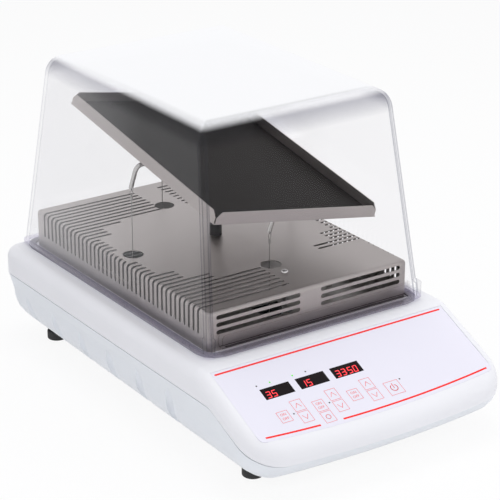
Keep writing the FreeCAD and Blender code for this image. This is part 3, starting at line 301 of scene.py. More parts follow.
# How near a point lies to a place, or an edge to a direction, to be chosen there
HAIR = 0.00001
LEVEL = 0.001
UPRIGHT = 0.9


# Selecting and editing

def only(piece):
    bpy.ops.object.select_all(action="DESELECT")
    piece.select_set(True)
    bpy.context.view_layer.objects.active = piece


def editing(piece, kind="FACE"):
    only(piece)
    bpy.ops.object.mode_set(mode="EDIT")
    bpy.ops.mesh.select_mode(type=kind)
    bpy.ops.mesh.select_all(action="DESELECT")


def done():
    bpy.ops.object.mode_set(mode="OBJECT")


def choose(piece, kind, test):
    """Selects the points, edges or faces of the edited piece that pass a test."""
    mesh = bmesh.from_edit_mesh(piece.data)
    bpy.ops.mesh.select_mode(type=kind)
    bpy.ops.mesh.select_all(action="DESELECT")
    items = {"VERT": mesh.verts, "EDGE": mesh.edges, "FACE": mesh.faces}[kind]
    for item in items:
        if test(item):
            item.select_set(True)
    mesh.select_flush_mode()
    bmesh.update_edit_mesh(piece.data)


def middle(edge):
    return (edge.verts[0].co + edge.verts[1].co) / 2


def along(edge):
    return (edge.verts[1].co - edge.verts[0].co).normalized()


def upright(edge):
    return abs(along(edge).z) > UPRIGHT


def level_at(edge, heights, reach=HAIR):
    return abs(along(edge).z) < LEVEL and any(abs(middle(edge).z - z) < reach for z in heights)


def settle(piece):
    """Moves the piece's place into its mesh."""
    only(piece)
    bpy.ops.object.transform_apply(location=True, rotation=True, scale=True)
    return piece


def named(piece, name):
    piece.name = name
    piece.data.name = name
    return piece


def change(piece, kind, **settings):
    """Adds a modifier and applies it."""
    only(piece)
    modifier = piece.modifiers.new(kind.lower(), kind)
    for key, value in settings.items():
        setattr(modifier, key, value)
    bpy.ops.object.modifier_apply(modifier=modifier.name)
    return piece


def combine(piece, tool, operation):
    """Boolean of two pieces; the tool goes."""
    change(piece, "BOOLEAN", object=tool, operation=operation, solver="EXACT")
    bpy.data.objects.remove(tool)
    return piece


def cut(piece, tool):
    return combine(piece, tool, "DIFFERENCE")


def join(pieces):
    only(pieces[0])
    for piece in pieces[1:]:
        piece.select_set(True)
    if len(pieces) > 1:
        bpy.ops.object.join()
    return pieces[0]


def put(piece, matrix):
    piece.data.transform(matrix)
    return piece


def copy_of(piece, matrix):
    twin = piece.copy()
    twin.data = piece.data.copy()
    bpy.context.scene.collection.objects.link(twin)
    twin.data.transform(matrix)
    return twin


def recalculate(piece):
    editing(piece)
    bpy.ops.mesh.select_all(action="SELECT")
    bpy.ops.mesh.remove_doubles(threshold=HAIR)
    bpy.ops.mesh.normals_make_consistent(inside=False)
    done()
    return piece


def smooth(piece, angle=35):
    only(piece)
    bpy.ops.object.shade_smooth_by_angle(angle=math.radians(angle))
    change(piece, "WEIGHTED_NORMAL", keep_sharp=True)
    return piece


# Starting shapes

def block(low, high):
    low, high = Vector(low), Vector(high)
    bpy.ops.mesh.primitive_cube_add(size=1, location=(low + high) / 2)
    piece = bpy.context.object
    piece.scale = high - low
    return settle(piece)


def pole(radius, start, end, vertices=48):
    start, end = Vector(start), Vector(end)
    span = end - start
    bpy.ops.mesh.primitive_cylinder_add(vertices=vertices, radius=radius, depth=span.length,
                                        location=(start + end) / 2)
    piece = bpy.context.object
    piece.rotation_mode = "QUATERNION"
    piece.rotation_quaternion = span.to_track_quat("Z", "Y")
    return settle(piece)


def bevelled(piece, test, width, segments=4):
    """Rounds the edges that pass a test."""
    editing(piece, "EDGE")
    choose(piece, "EDGE", test)
    bpy.ops.mesh.bevel(offset=width, segments=segments, affect="EDGES", clamp_overlap=False)
    done()
    return piece


def sharp_edges(edge):
    return len(edge.link_faces) == 2 and edge.calc_face_angle() > math.radians(40)


def softened(piece, width, segments=2):
    return bevelled(piece, sharp_edges, width, segments)


def start_point(x, y, z):
    """A mesh of one point, in edit mode, ready to be spun and extruded."""
    bpy.ops.mesh.primitive_plane_add(size=0.01, location=(x, y, z))
    piece = settle(bpy.context.object)
    editing(piece, "VERT")
    bpy.ops.mesh.select_all(action="SELECT")
    bpy.ops.mesh.merge(type="CENTER")
    return piece


def spin_on(angle, centre, steps):
    bpy.ops.mesh.spin(steps=steps, angle=angle, center=centre, axis=(0, 0, -1))


def draw_on(value):
    bpy.ops.mesh.extrude_region_move(TRANSFORM_OT_translate={"value": value})


def mirrored(piece):
    done()
    change(piece, "MIRROR", use_axis=(True, False, False), merge_threshold=HAIR)
    return piece


def filled(piece, height):
    """Fills a closed outline and gives it a height."""
    editing(piece, "EDGE")
    bpy.ops.mesh.select_all(action="SELECT")
    bpy.ops.mesh.edge_face_add()
    draw_on((0, 0, height))
    done()
    return recalculate(piece)


# Cabinet

def tangent_normal(c1, r1, c2, r2):
    """Unit normal, towards +X, of the outer tangent line of two circles."""
    span = c2 - c1
    turn = math.asin((r1 - r2) / span.length)
    ahead = span.normalized()
    right = Vector((ahead.y, -ahead.x, 0))
    return right * math.cos(turn) + ahead * math.sin(turn)


def outline(z, inset_front, inset_rear):
    """Plan outline of the cabinet at a height: bowed front, round corners, straight sides."""
    rear_r = max(LEAST_CORNER, CORNER_REAR - inset_rear)
    rear_c = Vector((WIDTH / 2 - inset_rear - rear_r, LENGTH / 2 - inset_rear - rear_r, z))
    front_r = max(LEAST_CORNER, CORNER_FRONT - inset_front)
    bow_r = BOW_RADIUS - inset_front
    bow_c = Vector((0, -LENGTH / 2 + BOW_RADIUS, z))
    front_x = WIDTH / 2 - inset_front - front_r
    front_c = Vector((front_x, bow_c.y - math.sqrt((bow_r - front_r) ** 2 - front_x ** 2), z))
    side = tangent_normal(front_c, front_r, rear_c, rear_r)
    bow_dir = (front_c - bow_c).normalized()
    down = Vector((0, -1, 0))
    ring = start_point(0, bow_c.y - bow_r, z)
    spin_on(down.angle(bow_dir), bow_c, BOW_STEPS)
    spin_on(bow_dir.angle(side), front_c, CORNER_STEPS)
    draw_on((rear_c + side * rear_r) - (front_c + side * front_r))
    spin_on(side.angle(-down), rear_c, CORNER_STEPS)
    draw_on((-rear_c.x, 0, 0))
    return mirrored(ring)


def side_profile(points, x0, x1):
    """Outline in the YZ plane, carried along X."""
    piece = start_point(x0, *points[0])
    for (ya, za), (yb, zb) in zip(points, points[1:] + points[:1]):
        draw_on((0, yb - ya, zb - za))
    bpy.ops.mesh.select_all(action="SELECT")
    bpy.ops.mesh.remove_doubles(threshold=HAIR)
    bpy.ops.mesh.select_all(action="SELECT")
    bpy.ops.mesh.edge_face_add()
    draw_on((x1 - x0, 0, 0))
    done()
    return recalculate(piece)


def under_parting(lowered):
    """Block under the parting line: level along the side, falling along the front, then level again."""
    high, low = PARTING_Z - lowered, PARTING_FRONT_Z - lowered
    foot_y = PARTING_KINK_Y - (high - low) / math.tan(PARTING_SLOPE)
    points = [(BEYOND_Y, high), (PARTING_KINK_Y, high), (foot_y, low), (-BEYOND_Y, low),
              (-BEYOND_Y, BENEATH), (BEYOND_Y, BENEATH)]
    below = side_profile(points, -BEYOND_X, BEYOND_X)

    def at_bend(edge):
        return abs(along(edge).x) > 0.9 and middle(edge).z > 0 and abs(middle(edge).y) < LENGTH / 2 + 0.05

    return bevelled(below, at_bend, PARTING_EASE, 6)


def upper_shell():
    body = filled(outline(SHELL_FOOT_Z, 0, 0), TOP_Z - SHELL_FOOT_Z)
    normal = Vector((0, -math.sin(PANEL_SLOPE), math.cos(PANEL_SLOPE)))
    editing(body)
    bpy.ops.mesh.select_all(action="SELECT")
    bpy.ops.mesh.bisect(plane_co=PANEL_TOP, plane_no=normal, use_fill=True, clear_outer=True)
    done()
    recalculate(body)

    def on_crease(edge):
        spot = middle(edge)
        return (abs(along(edge).x) > 0.99 and abs(spot.x) < 0.01 and edge.calc_face_angle() > 0.2
                and spot.y > PANEL_TOP.y - 0.05 and spot.z > PANEL_TOP.z - 0.004)

    def on_rim(edge):
        up = [face.normal.z > 0.5 for face in edge.link_faces]
        return len(up) == 2 and up[0] != up[1] and middle(edge).z > SHELL_FOOT_Z + 0.002

    bevelled(body, on_crease, CREASE_RADIUS * math.tan(PANEL_SLOPE / 2), 12)
    bevelled(body, on_rim, SHELL_ROUND, 10)
    cut(body, under_parting(0))
    editing(body)
    choose(body, "FACE", lambda f: f.normal.z < -0.5)
    bpy.ops.mesh.delete(type="FACE")
    done()
    change(body, "SOLIDIFY", thickness=WALL, offset=-1, use_even_offset=True)
    well = block((*WELL_LOW, TOP_Z - WELL_DOWN), (*WELL_HIGH, TOP_Z + WELL_UP))
    cut(body, bevelled(well, upright, WELL_ROUND))
    # The overlay's recess, and a shallow relief round it that shows as a fine edge
    cut(body, put(overlay_blank(OVERLAY_BACK, RECESS_TOP, RECESS_PLAY), PANEL))
    cut(body, put(overlay_blank(-RELIEF_DEPTH, RECESS_TOP, RELIEF_PLAY), PANEL))
    return smooth(named(body, "cabinet_shell"), 30)


def pan_level(depth):
    """Height and the insets of front and rear, for a share of the turn from wall to floor."""
    if depth < 0:
        rise = -depth
        return PAN_WALL_FOOT_Z + (PAN_WALL_TOP_Z - PAN_WALL_FOOT_Z) * rise, 0, PAN_LEAN * (1 - rise)
    angle = depth * math.pi / 2
    z = PAN_WALL_FOOT_Z - PAN_TURN_R * math.sin(angle)
    rear = PAN_LEAN + PAN_TURN_R * (1 - math.cos(angle))
    front = PROW_RATE * max(0.0, PROW_START - z * 1000) ** PROW_POWER * MM
    return z, front, rear


def lower_pan():
    levels = [pan_level(-1)] + [pan_level(step / PAN_TURN_STEPS) for step in range(PAN_TURN_STEPS + 1)]
    pan = join([outline(*level) for level in levels])
    editing(pan, "VERT")
    for upper, lower in zip(levels, levels[1:]):
        choose(pan, "EDGE", lambda e: level_at(e, (upper[0], lower[0])))
        bpy.ops.mesh.bridge_edge_loops()
    for z in (levels[0][0], levels[-1][0]):
        choose(pan, "EDGE", lambda e: level_at(e, (z,)))
        bpy.ops.mesh.edge_face_add()
    done()
    recalculate(pan)
    for tool in flutes():
        cut(pan, tool)
    combine(pan, under_parting(GAP_HEIGHT), "INTERSECT")
    # The pan is open above: the faces on the parting line go
    editing(pan)
    lowest = PARTING_FRONT_Z - 2 * GAP_HEIGHT
    choose(pan, "FACE", lambda f: f.normal.z > 0.5 and f.calc_center_median().z > lowest)
    bpy.ops.mesh.delete(type="FACE")
    done()
    change(pan, "SOLIDIFY", thickness=WALL, offset=-1)
    return smooth(named(pan, "cabinet_pan"), 30)


def flutes():
    """Leaning round cutters along both sides of the pan."""
    tools = []
    for side in (-1, 1):
        outer, inner = side * (WIDTH / 2 + FLUTE_OUT), side * (WIDTH / 2 - FLUTE_IN)
        row = []
        for y in FLUTE_YS:
            head, foot = (outer, y + FLUTE_AHEAD, FLUTE_HEAD_Z), (inner, y - FLUTE_BEHIND, FLUTE_FOOT_Z)
            row.append(pole(FLUTE_R, head, foot, 64))
        tools.append(join(row))
    return tools


def overlay_blank(low, high, grow):
    """The overlay's outline in panel coordinates, between two heights."""
    half = OVERLAY_HALF + grow
    foot = OVERLAY_LOW - grow
    chord = half - OVERLAY_ROUND
    bow_r = (chord ** 2 + OVERLAY_BOW ** 2) / (2 * OVERLAY_BOW)
    bow_angle = math.asin(chord / bow_r)
    corner = Vector((half - OVERLAY_ROUND, foot + OVERLAY_ROUND, low))
    ring = start_point(0, foot - OVERLAY_BOW, low)
    spin_on(bow_angle, Vector((0, foot - OVERLAY_BOW + bow_r, low)), BOW_STEPS)
    spin_on(math.pi / 2, corner, 10)
    draw_on((0, OVERLAY_TOP + grow - corner.y, 0))
    draw_on((-half, 0, 0))
    return filled(mirrored(ring), high - low)


# Materials

class Wire:
    """An output socket that can be used in sums."""

    def __init__(self, surface, socket):
        self.surface = surface
        self.socket = socket

    def maths(self, operation, first, second=0.0):
        return self.surface.node("Math", {"operation": operation}, {0: first, 1: second})

    def __add__(self, other):
        return self.maths("ADD", self, other)

    def __radd__(self, other):
        return self.maths("ADD", other, self)

    def __sub__(self, other):
        return self.maths("SUBTRACT", self, other)

    def __rsub__(self, other):
        return self.maths("SUBTRACT", other, self)

    def __mul__(self, other):
        return self.maths("MULTIPLY", self, other)

    def __rmul__(self, other):
        return self.maths("MULTIPLY", other, self)

    def __pow__(self, other):
        return self.maths("POWER", self, other)

    def over(self, other):
        return self.maths("GREATER_THAN", self, other)

    def at_most(self, other):
        return self.maths("MINIMUM", self, other)

    def at_least(self, other):
        return self.maths("MAXIMUM", self, other)

    def between(self, start, end):
        """0 at the start, 1 at the end, and straight between."""
        return ((self - start) * (1 / (end - start))).at_least(0.0).at_most(1.0)


class Surface:
    """The nodes of a material, or of the world, added by name."""

    def __init__(self, name, holder=None):
        self.holder = holder or bpy.data.materials.new(name)
        self.holder.use_nodes = True
        self.tree = self.holder.node_tree
        self.tree.nodes.clear()

    def node(self, kind, settings=None, sockets=None, output=0):
        node = self.tree.nodes.new("ShaderNode" + kind)
        for key, value in (settings or {}).items():
            setattr(node, key, value)
        for label, value in (sockets or {}).items():
            self.feed(self.input_of(node, label), value)
        return Wire(self, node.outputs[output]) if node.outputs else None

    def input_of(self, node, label):
        if isinstance(label, int):
            return node.inputs[label]
        for socket in node.inputs:
            if socket.enabled and label in (socket.identifier, socket.name):
                return socket
        raise KeyError(label)

    def feed(self, socket, value):
        if isinstance(value, Wire):
            self.tree.links.new(value.socket, socket)
        elif socket.type == "RGBA":
            socket.default_value = (*value, 1)
        else:
            socket.default_value = value

    def place(self, scale=(1, 1, 1), turn=(0, 0, 0)):
        """Object coordinates, stretched or turned."""
        spot = self.node("TexCoord", output=3)
        return self.node("Mapping", None, {"Vector": spot, "Scale": scale, "Rotation": turn})

    def noise(self, scale, detail=4, stretch=(1, 1, 1), turn=(0, 0, 0), roughness=0.5):
        return self.node("TexNoise", None, {"Vector": self.place(stretch, turn), "Scale": scale,
                                            "Detail": detail, "Roughness": roughness})

    def blend(self, factor, first, second):
        return self.node("Mix", {"data_type": "RGBA"},
                         {"Factor_Float": factor, "A_Color": first, "B_Color": second}, output=2)

    def clear(self, colour):
        return self.node("BsdfTransparent", None, {"Color": colour})

    def mixed(self, factor, first, second):
        return self.node("MixShader", None, {0: factor, 1: first, 2: second})

    def bump(self, height, distance, strength=1.0):
        return self.node("Bump", None, {"Height": height, "Distance": distance, "Strength": strength})

    def finish(self, **sockets):
        """Principled shader; underscores in the names stand for spaces."""
        named_sockets = {key.replace("_", " "): value for key, value in sockets.items()}
        return self.output(self.node("BsdfPrincipled", None, named_sockets))

    def output(self, shader, kind="OutputMaterial"):
        self.node(kind, None, {"Surface": shader})
        return self.holder


def shade(colour, factor):
    return tuple(min(1.0, part * factor) for part in colour)


def moulded_plastic(name, colour, gloss=0.36, grain=0.00002):
    """Moulded casing: fine spark grain and a faint cloudiness."""
    s = Surface(name)
    cloud = s.noise(scale=9, detail=3)
    spark = s.noise(scale=2600, detail=2)
    tone = s.blend(cloud, shade(colour, 0.975), shade(colour, 1.02))
    return s.finish(Base_Color=tone, Roughness=gloss + cloud * 0.07, IOR=1.47,
                    Normal=s.bump(spark, distance=grain, strength=0.35),
                    Coat_Weight=0.06, Coat_Roughness=0.22)


def brushed_steel(name, colour, rough=0.30, turn=(0, 0, 0), lines=900, depth=0.000012):
    """Brushed sheet: long fine scratches, a broad mottling and a few handling marks."""
    s = Surface(name)
    scratch = s.noise(scale=lines, detail=3, stretch=(0.02, 1, 1), turn=turn)
    broad = s.noise(scale=7, detail=4, stretch=(0.6, 1, 1), turn=turn)
    marks = s.noise(scale=46, detail=6, roughness=0.7)
    tone = s.blend(broad, shade(colour, 0.92), shade(colour, 1.06))
    tone = s.blend(scratch * 0.35, tone, shade(colour, 0.80))
    rough_map = rough + scratch * 0.12 + broad * 0.06 + (marks - 0.5) * 0.05
    return s.finish(Base_Color=tone, Metallic=1.0, Roughness=rough_map,
                    Normal=s.bump(scratch, distance=depth, strength=0.5))


def bright_steel(name, colour, rough=0.16):
    s = Surface(name)
    turned = s.noise(scale=700, detail=2, stretch=(1, 1, 0.2))
    tone = s.blend(turned, shade(colour, 0.9), shade(colour, 1.05))
    return s.finish(Base_Color=tone, Metallic=1.0, Roughness=rough + turned * 0.10)


def rubber(name, colour, rough=0.62):
    s = Surface(name)
    dust = s.noise(scale=120, detail=5)
    fine = s.noise(scale=1500, detail=2)
    tone = s.blend(dust, shade(colour, 0.85), shade(colour, 1.35))
    return s.finish(Base_Color=tone, Roughness=rough + dust * 0.12,
                    Normal=s.bump(fine, distance=0.00004, strength=0.5))


def mat_rubber():
    """Non-slip mat: black, smooth enough for a broad soft sheen."""
    s = Surface("mat_rubber")
    wear = s.noise(scale=14, detail=5)
    fine = s.noise(scale=1800, detail=3)
    tone = s.blend(wear, (0.009, 0.0075, 0.007), (0.014, 0.012, 0.0115))
    return s.finish(Base_Color=tone, Roughness=0.42 + wear * 0.14, Specular_IOR_Level=0.05,
                    Normal=s.bump(fine, distance=0.000004, strength=0.4))


def clear_plastic():
    """Formed clear cover: see-through face on, mirror-like at a slant, with a painted reflection on its
    top and a painted sheen towards the rear.

    Its corners, shoulder, foot and flange are darker with painted shade, and its finger recess has a
    painted dark line at its step; they stand in for the light that the thick plastic bends there.
    Places are in metres: x is taken to either side, and ahead is the distance towards the front.
    """
    s = Surface("clear_cover")
    slant = s.node("LayerWeight", None, {"Blend": 0.5}, output=1)
    spot = s.node("TexCoord", output=3)
    x, y, z = [s.node("SeparateXYZ", None, {0: spot}, output=i) for i in range(3)]
    _, y0, x1, _, z0 = LID_LOW
    _, ty0, tx1, _, z1 = LID_HIGH
    rise, ahead, wide = z - z0, y * -1, x.maths("ABSOLUTE", x)

    # Upright corners: painted shade, darkest where the rounding starts
    from_side = wide - (x1 - LID_CORNER) + rise * ((x1 - tx1) / (z1 - z0))
    from_front = (y0 + LID_CORNER) - y + rise * ((ty0 - y0) / (z1 - z0))
    corner = from_side.at_most(from_front).between(*PAINTED_CORNER_SHADE)
    ring = corner.between(0, 1 / 6) * (1 - corner * 0.9)

    # Painted shade on the foot and on the ledge round the finger recess, and a painted dark line at the
    # step at the recess's lower edge
    ledge_z, wall_ahead = FINGER_HIGH + LID_WALL, -y0 - FINGER_DEPTH - LID_WALL
    inside_ahead = wall_ahead - TINT_PLAY
    foot = rise.between(FLANGE_T + 2 * TINT_BLUR, 2 * TINT_BLUR)
    recess = z.between(ledge_z + TINT_BLUR, ledge_z - TINT_BLUR)
    recess = recess * ahead.between(inside_ahead - TINT_BLUR, inside_ahead + TINT_BLUR)
    near, far = RECESS_WALL_TINT
    at_wall = ahead.over(wall_ahead - near) * (1 - ahead.over(wall_ahead + far))
    recess_wall = at_wall * (1 - wide.over(FINGER_HALF + RECESS_SIDE))
    ledge_painted_shade = recess * (1 - wide.over(FINGER_HALF + LEDGE_SIDE)) * (1 - recess_wall)
    at_step = z.over(FINGER_LOW - PAINTED_STEP_LINE) * (1 - z.over(FINGER_LOW + PAINTED_STEP_LINE))
    step = at_step * ahead.over(inside_ahead) * (1 - wide.over(FINGER_HALF + STEP_SIDE))

    # Painted reflection on the flat top, and painted shade on the rounding just under it
    top_painted_reflection = z.between(z1 - PAINTED_TOP_REFLECTION[0], z1 - PAINTED_TOP_REFLECTION[1])
    shoulder_painted_shade = z.between(z1 - PAINTED_SHOULDER_SHADE[0], z1 - PAINTED_SHOULDER_SHADE[1]) * (1 - top_painted_reflection)
    # Painted sheen, rising towards the rear
    rear_painted_sheen = y.between(*PAINTED_REAR_SHEEN)

    through = s.clear((0.995, 0.994, 0.997))
    # Painted shade darkens what shows through at the corners, foot, shoulder, ledge and recess step; the
    # first tint darkens the plastic at a grazing slant
    slant_tint_and_painted_shades = [(slant ** 5.0, (0.42, 0.42, 0.47)), (ring * 0.9, (0.40, 0.41, 0.47)),
             (foot, (0.82, 0.80, 0.87)), (shoulder_painted_shade * 0.5, (0.56, 0.56, 0.61)),
             (ledge_painted_shade * 0.5, (0.78, 0.76, 0.77)), (step, (0.20, 0.19, 0.20))]
    for mask, tint in slant_tint_and_painted_shades:
        through = s.mixed(mask, through, s.clear(tint))
    sheen = s.noise(scale=5, detail=3)
    gloss = s.node("BsdfPrincipled", None, {"Base Color": (0.96, 0.965, 0.99), "Metallic": 1.0,
                                            "Roughness": 0.03 + sheen * 0.03})
    # Mirror share: gloss at a slant, with a painted reflection on the top, a painted sheen towards the
    # rear and a little painted reflection on the foot and corners
    slant_gloss_and_painted_reflection_share = (0.003 + (slant ** 4.0) * 0.50 + top_painted_reflection * (slant * 1.58).at_most(0.97)
                      + rear_painted_sheen * slant * 0.20 + foot * 0.10 + ring * 0.03)
    return s.output(s.mixed(slant_gloss_and_painted_reflection_share.at_most(0.985), through, gloss))


def film(name, colour, rough=0.30):
    """Printed polyester film with a very fine matt texture."""
    s = Surface(name)
    tooth = s.noise(scale=3200, detail=2)
    cloud = s.noise(scale=11, detail=2)
    tone = s.blend(cloud, shade(colour, 0.985), shade(colour, 1.01))
    return s.finish(Base_Color=tone, Roughness=rough + tooth * 0.10, IOR=1.5,
                    Normal=s.bump(tooth, distance=0.000008, strength=0.5))


def ink(name, colour, rough=0.42):
    s = Surface(name)
    spread = s.noise(scale=900, detail=3)
    tone = s.blend(spread, shade(colour, 0.93), shade(colour, 1.05))
    return s.finish(Base_Color=tone, Roughness=rough + spread * 0.06, Specular_IOR_Level=0.2)


def dark_glass():
    s = Surface("display_glass")
    smear = s.noise(scale=60, detail=4)
    tone = s.blend(smear, (0.006, 0.004, 0.005), (0.014, 0.009, 0.010))
    return s.finish(Base_Color=tone, Roughness=0.10 + smear * 0.06, Specular_IOR_Level=0.08)


def lit(name, colour, strength):
    """Light behind a coloured diffuser: a little brighter in the middle of its grain."""
    s = Surface(name)
    glow = s.noise(scale=500, detail=2)
    tone = s.blend(glow, shade(colour, 0.86), colour)
    return s.finish(Base_Color=shade(colour, 0.5), Emission_Color=tone, Emission_Strength=strength,
                    Roughness=0.4)


def circuit_green():
    s = Surface("circuit_board")
    tracks = s.node("TexVoronoi", None, {"Vector": s.place(), "Scale": 260}).over(0.45)
    tone = s.blend(tracks, (0.010, 0.085, 0.035), (0.02, 0.15, 0.06))
    return s.finish(Base_Color=tone, Roughness=0.38 + tracks * 0.1, Coat_Weight=0.3)


# Cabinet fittings

def panel_film():
    piece = overlay_blank(OVERLAY_BACK, OVERLAY_FACE, 0)
    through = 0.003
    holes = [block((u - w / 2, -v - h / 2, -through), (u + w / 2, -v + h / 2, through))
             for u, v, w, h in list(KEYS.values()) + WINDOWS]
    cut(piece, join(holes))
    return softened(put(named(piece, "panel_film"), PANEL), OVERLAY_EDGE, 1)


def printed_line(name, u0, u1, v, width):
    """A straight printed line with round ends."""
    line = block((u0, -v - width / 2, OVERLAY_FACE), (u1, -v + width / 2, OVERLAY_FACE + PRINT_T))
    bevelled(line, upright, width * LINE_ROUND, 4)
    return put(named(line, name), PANEL)


def bowed_line(name, u0, u1, v, width):
    """A printed line in short runs that follow the overlay's bowed lower edge."""
    runs = 14
    chord = OVERLAY_HALF - OVERLAY_ROUND

    def drop(u):
        return OVERLAY_BOW * (0.5 - (u / chord) ** 2)

    line = start_point(u0, -v, OVERLAY_FACE)
    stations = [u0 + (u1 - u0) * run / runs for run in range(runs + 1)]
    for a, b in zip(stations, stations[1:]):
        draw_on((b - a, drop(a) - drop(b), 0))
    bpy.ops.mesh.select_all(action="SELECT")
    draw_on((0, width, 0))
    bpy.ops.mesh.select_all(action="SELECT")
    draw_on((0, 0, PRINT_T))
    done()
    put(line, Matrix.Translation((0, -drop(u0) - width / 2, 0)))
    return put(named(recalculate(line), name), PANEL)


def stroke(points, width, low, thick=PRINT_T):
    """A printed stroke through a few points in panel coordinates."""
    parts = []
    for start, end in zip(points, points[1:]):
        a, b = Vector((*start, 0)), Vector((*end, 0))
        length = (b - a).length
        piece = block((-width / 2, -width / 2, 0), (length + width / 2, width / 2, thick))
        turn = Matrix.Rotation(math.atan2(b.y - a.y, b.x - a.x), 4, "Z")
        parts.append(put(piece, Matrix.Translation((a.x, a.y, low)) @ turn))
    return parts


def lettering(text, u, v, size, low):
    bpy.ops.object.text_add(location=(0, 0, 0))
    letters = bpy.context.object
    letters.data.body = text
    letters.data.size = size
    letters.data.align_x = "CENTER"
    letters.data.align_y = "CENTER"
    letters.data.extrude = PRINT_T / 2
    letters.data.resolution_u = 3
    only(letters)
    bpy.ops.object.convert(target="MESH")
    return put(letters, Matrix.Translation((u, -v, low + PRINT_T / 2)))


def arc_points(u, v, radius, start, end, steps):
    angles = [math.radians(start + (end - start) * i / steps) for i in range(steps + 1)]
    return [(u + radius * math.cos(angle), -v + radius * math.sin(angle)) for angle in angles]


def key_outline(name):
    u, v, w, h = KEYS[name]
    left, right = u - w / 2 + KEY_INSET, u + w / 2 - KEY_INSET
    foot, head = -v - h / 2 + KEY_INSET, -v + h / 2 - KEY_INSET
    corners = [(left, foot), (right, foot), (right, head), (left, head), (left, foot)]
    return stroke(corners, KEY_LINE, OVERLAY_FACE)


def key_print(name):
    u, v = KEYS[name][:2]
    parts = key_outline(name)
    if name.endswith(("_up", "_down")):
        way = 1 if name.endswith("_up") else -1
        foot, tip = -v - way * ARROW_FOOT, -v + way * ARROW_TIP
        arrow = [(u - ARROW_HALF, foot), (u, tip), (u + ARROW_HALF, foot)]
        parts += stroke(arrow, ARROW_LINE, OVERLAY_FACE)
    elif name.endswith("_on_off"):
        parts += [lettering("ON", u, v - WORD_OFFSET, WORD_SIZE, OVERLAY_FACE),
                  lettering("OFF", u, v + WORD_OFFSET, WORD_SIZE, OVERLAY_FACE)]
    elif name == "key_power":
        parts += stroke(arc_points(u, v, POWER_R, 125, 415, 20), POWER_LINE, OVERLAY_FACE)
        parts += stroke([(u, -v + POWER_BAR_HEAD), (u, -v - POWER_BAR_FOOT)], POWER_LINE, OVERLAY_FACE)
    else:
        parts += stroke(arc_points(u, v, CIRCLE_R, 0, 360, 20), CIRCLE_LINE, OVERLAY_FACE)
    return put(named(join(parts), name + "_print"), PANEL)


SEGMENTS = {"0": "abcdef", "1": "bc", "3": "abcdg", "5": "acdfg"}


def segment_ends(letter, w, h):
    low, half, high = 0, h / 2, h
    return {"a": ((0, high), (w, high)), "b": ((w, high), (w, half)), "c": ((w, half), (w, low)),
            "d": ((0, low), (w, low)), "e": ((0, low), (0, half)), "f": ((0, half), (0, high)),
            "g": ((0, half), (w, half))}[letter]


def digits(text, u, v, name):
    """Seven-segment figures from their lower left corner; they lean a little, as on the real display."""
    parts = []
    for sign in text:
        if sign == ":":
            for y in (FIGURE_H * 0.3 - v, FIGURE_H * 0.7 - v):
                dot = [(u - COLON_LEFT, y), (u - COLON_RIGHT, y)]
                parts += stroke(dot, COLON_LINE, GLASS_FACE, DIGIT_T)
            u += COLON_W
            continue
        for letter in SEGMENTS[sign]:
            a, b = [Vector((x + FIGURE_LEAN * y, y)) for x, y in segment_ends(letter, FIGURE_W, FIGURE_H)]
            gap = (b - a).normalized() * FIGURE_GAP
            ends = [(u + p.x, -v + p.y) for p in (a + gap, b - gap)]
            parts += stroke(ends, FIGURE_LINE, GLASS_FACE, DIGIT_T)
        u += FIGURE_PITCH
    return put(named(join(parts), name), PANEL)


def lamp_domes(name, spots):
    """Flattened domes, cut off just under the overlay's face."""
    parts = []
    lower = Matrix.Translation((0, 0, OVERLAY_FACE * LAMP_FLAT)) @ Matrix.Diagonal((1, 1, LAMP_FLAT, 1))
    for u, v in spots:
        bpy.ops.mesh.primitive_uv_sphere_add(segments=24, ring_count=12, radius=LAMP_R,
                                             location=(u, -v, OVERLAY_FACE))
        dome = settle(bpy.context.object)
        editing(dome)
        bpy.ops.mesh.select_all(action="SELECT")
        bpy.ops.mesh.bisect(plane_co=(0, 0, OVERLAY_FACE - LAMP_SUNK), plane_no=(0, 0, 1),
                            use_fill=True, clear_inner=True)
        done()
        parts.append(put(dome, lower))
    return smooth(put(named(join(parts), name), PANEL), 50)


def turned_feet():
    parts = []
    for x in (-FEET_X, FEET_X):
        for y in FEET_YS:
            foot = pole(FEET_R, (x, y, 0), (x, y, PAN_BOTTOM_Z + FEET_SUNK))
            parts.append(softened(foot, FEET_EDGE, 3))
    return smooth(named(join(parts), "feet"))


# Deck cover with its slots

def deck():
    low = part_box("deck_cover")[0]
    body = block((-DECK_HALF_X, DECK_FRONT, low.z), (DECK_HALF_X, DECK_REAR, DECK_TOP))

    def on_top_edge(edge):
        return (abs(along(edge).z) < 0.1 and middle(edge).z > DECK_TOP - 0.0001
                and len(edge.link_faces) == 2 and edge.calc_face_angle() > 0.5)

    bevelled(body, upright, DECK_CORNER, 5)
    bevelled(body, on_top_edge, DECK_FOLD, 6)
    editing(body)
    choose(body, "FACE", lambda f: f.normal.z < -0.9)
    bpy.ops.mesh.delete(type="FACE")
    done()
    change(body, "SOLIDIFY", thickness=DECK_SHEET, offset=-1)
    holes = join(deck_slots() + front_slots() + deck_holes())
    change(body, "BOOLEAN", object=holes, operation="DIFFERENCE", solver="EXACT", use_self=True)
    bpy.data.objects.remove(holes)
    return smooth(named(body, "deck"), 30)


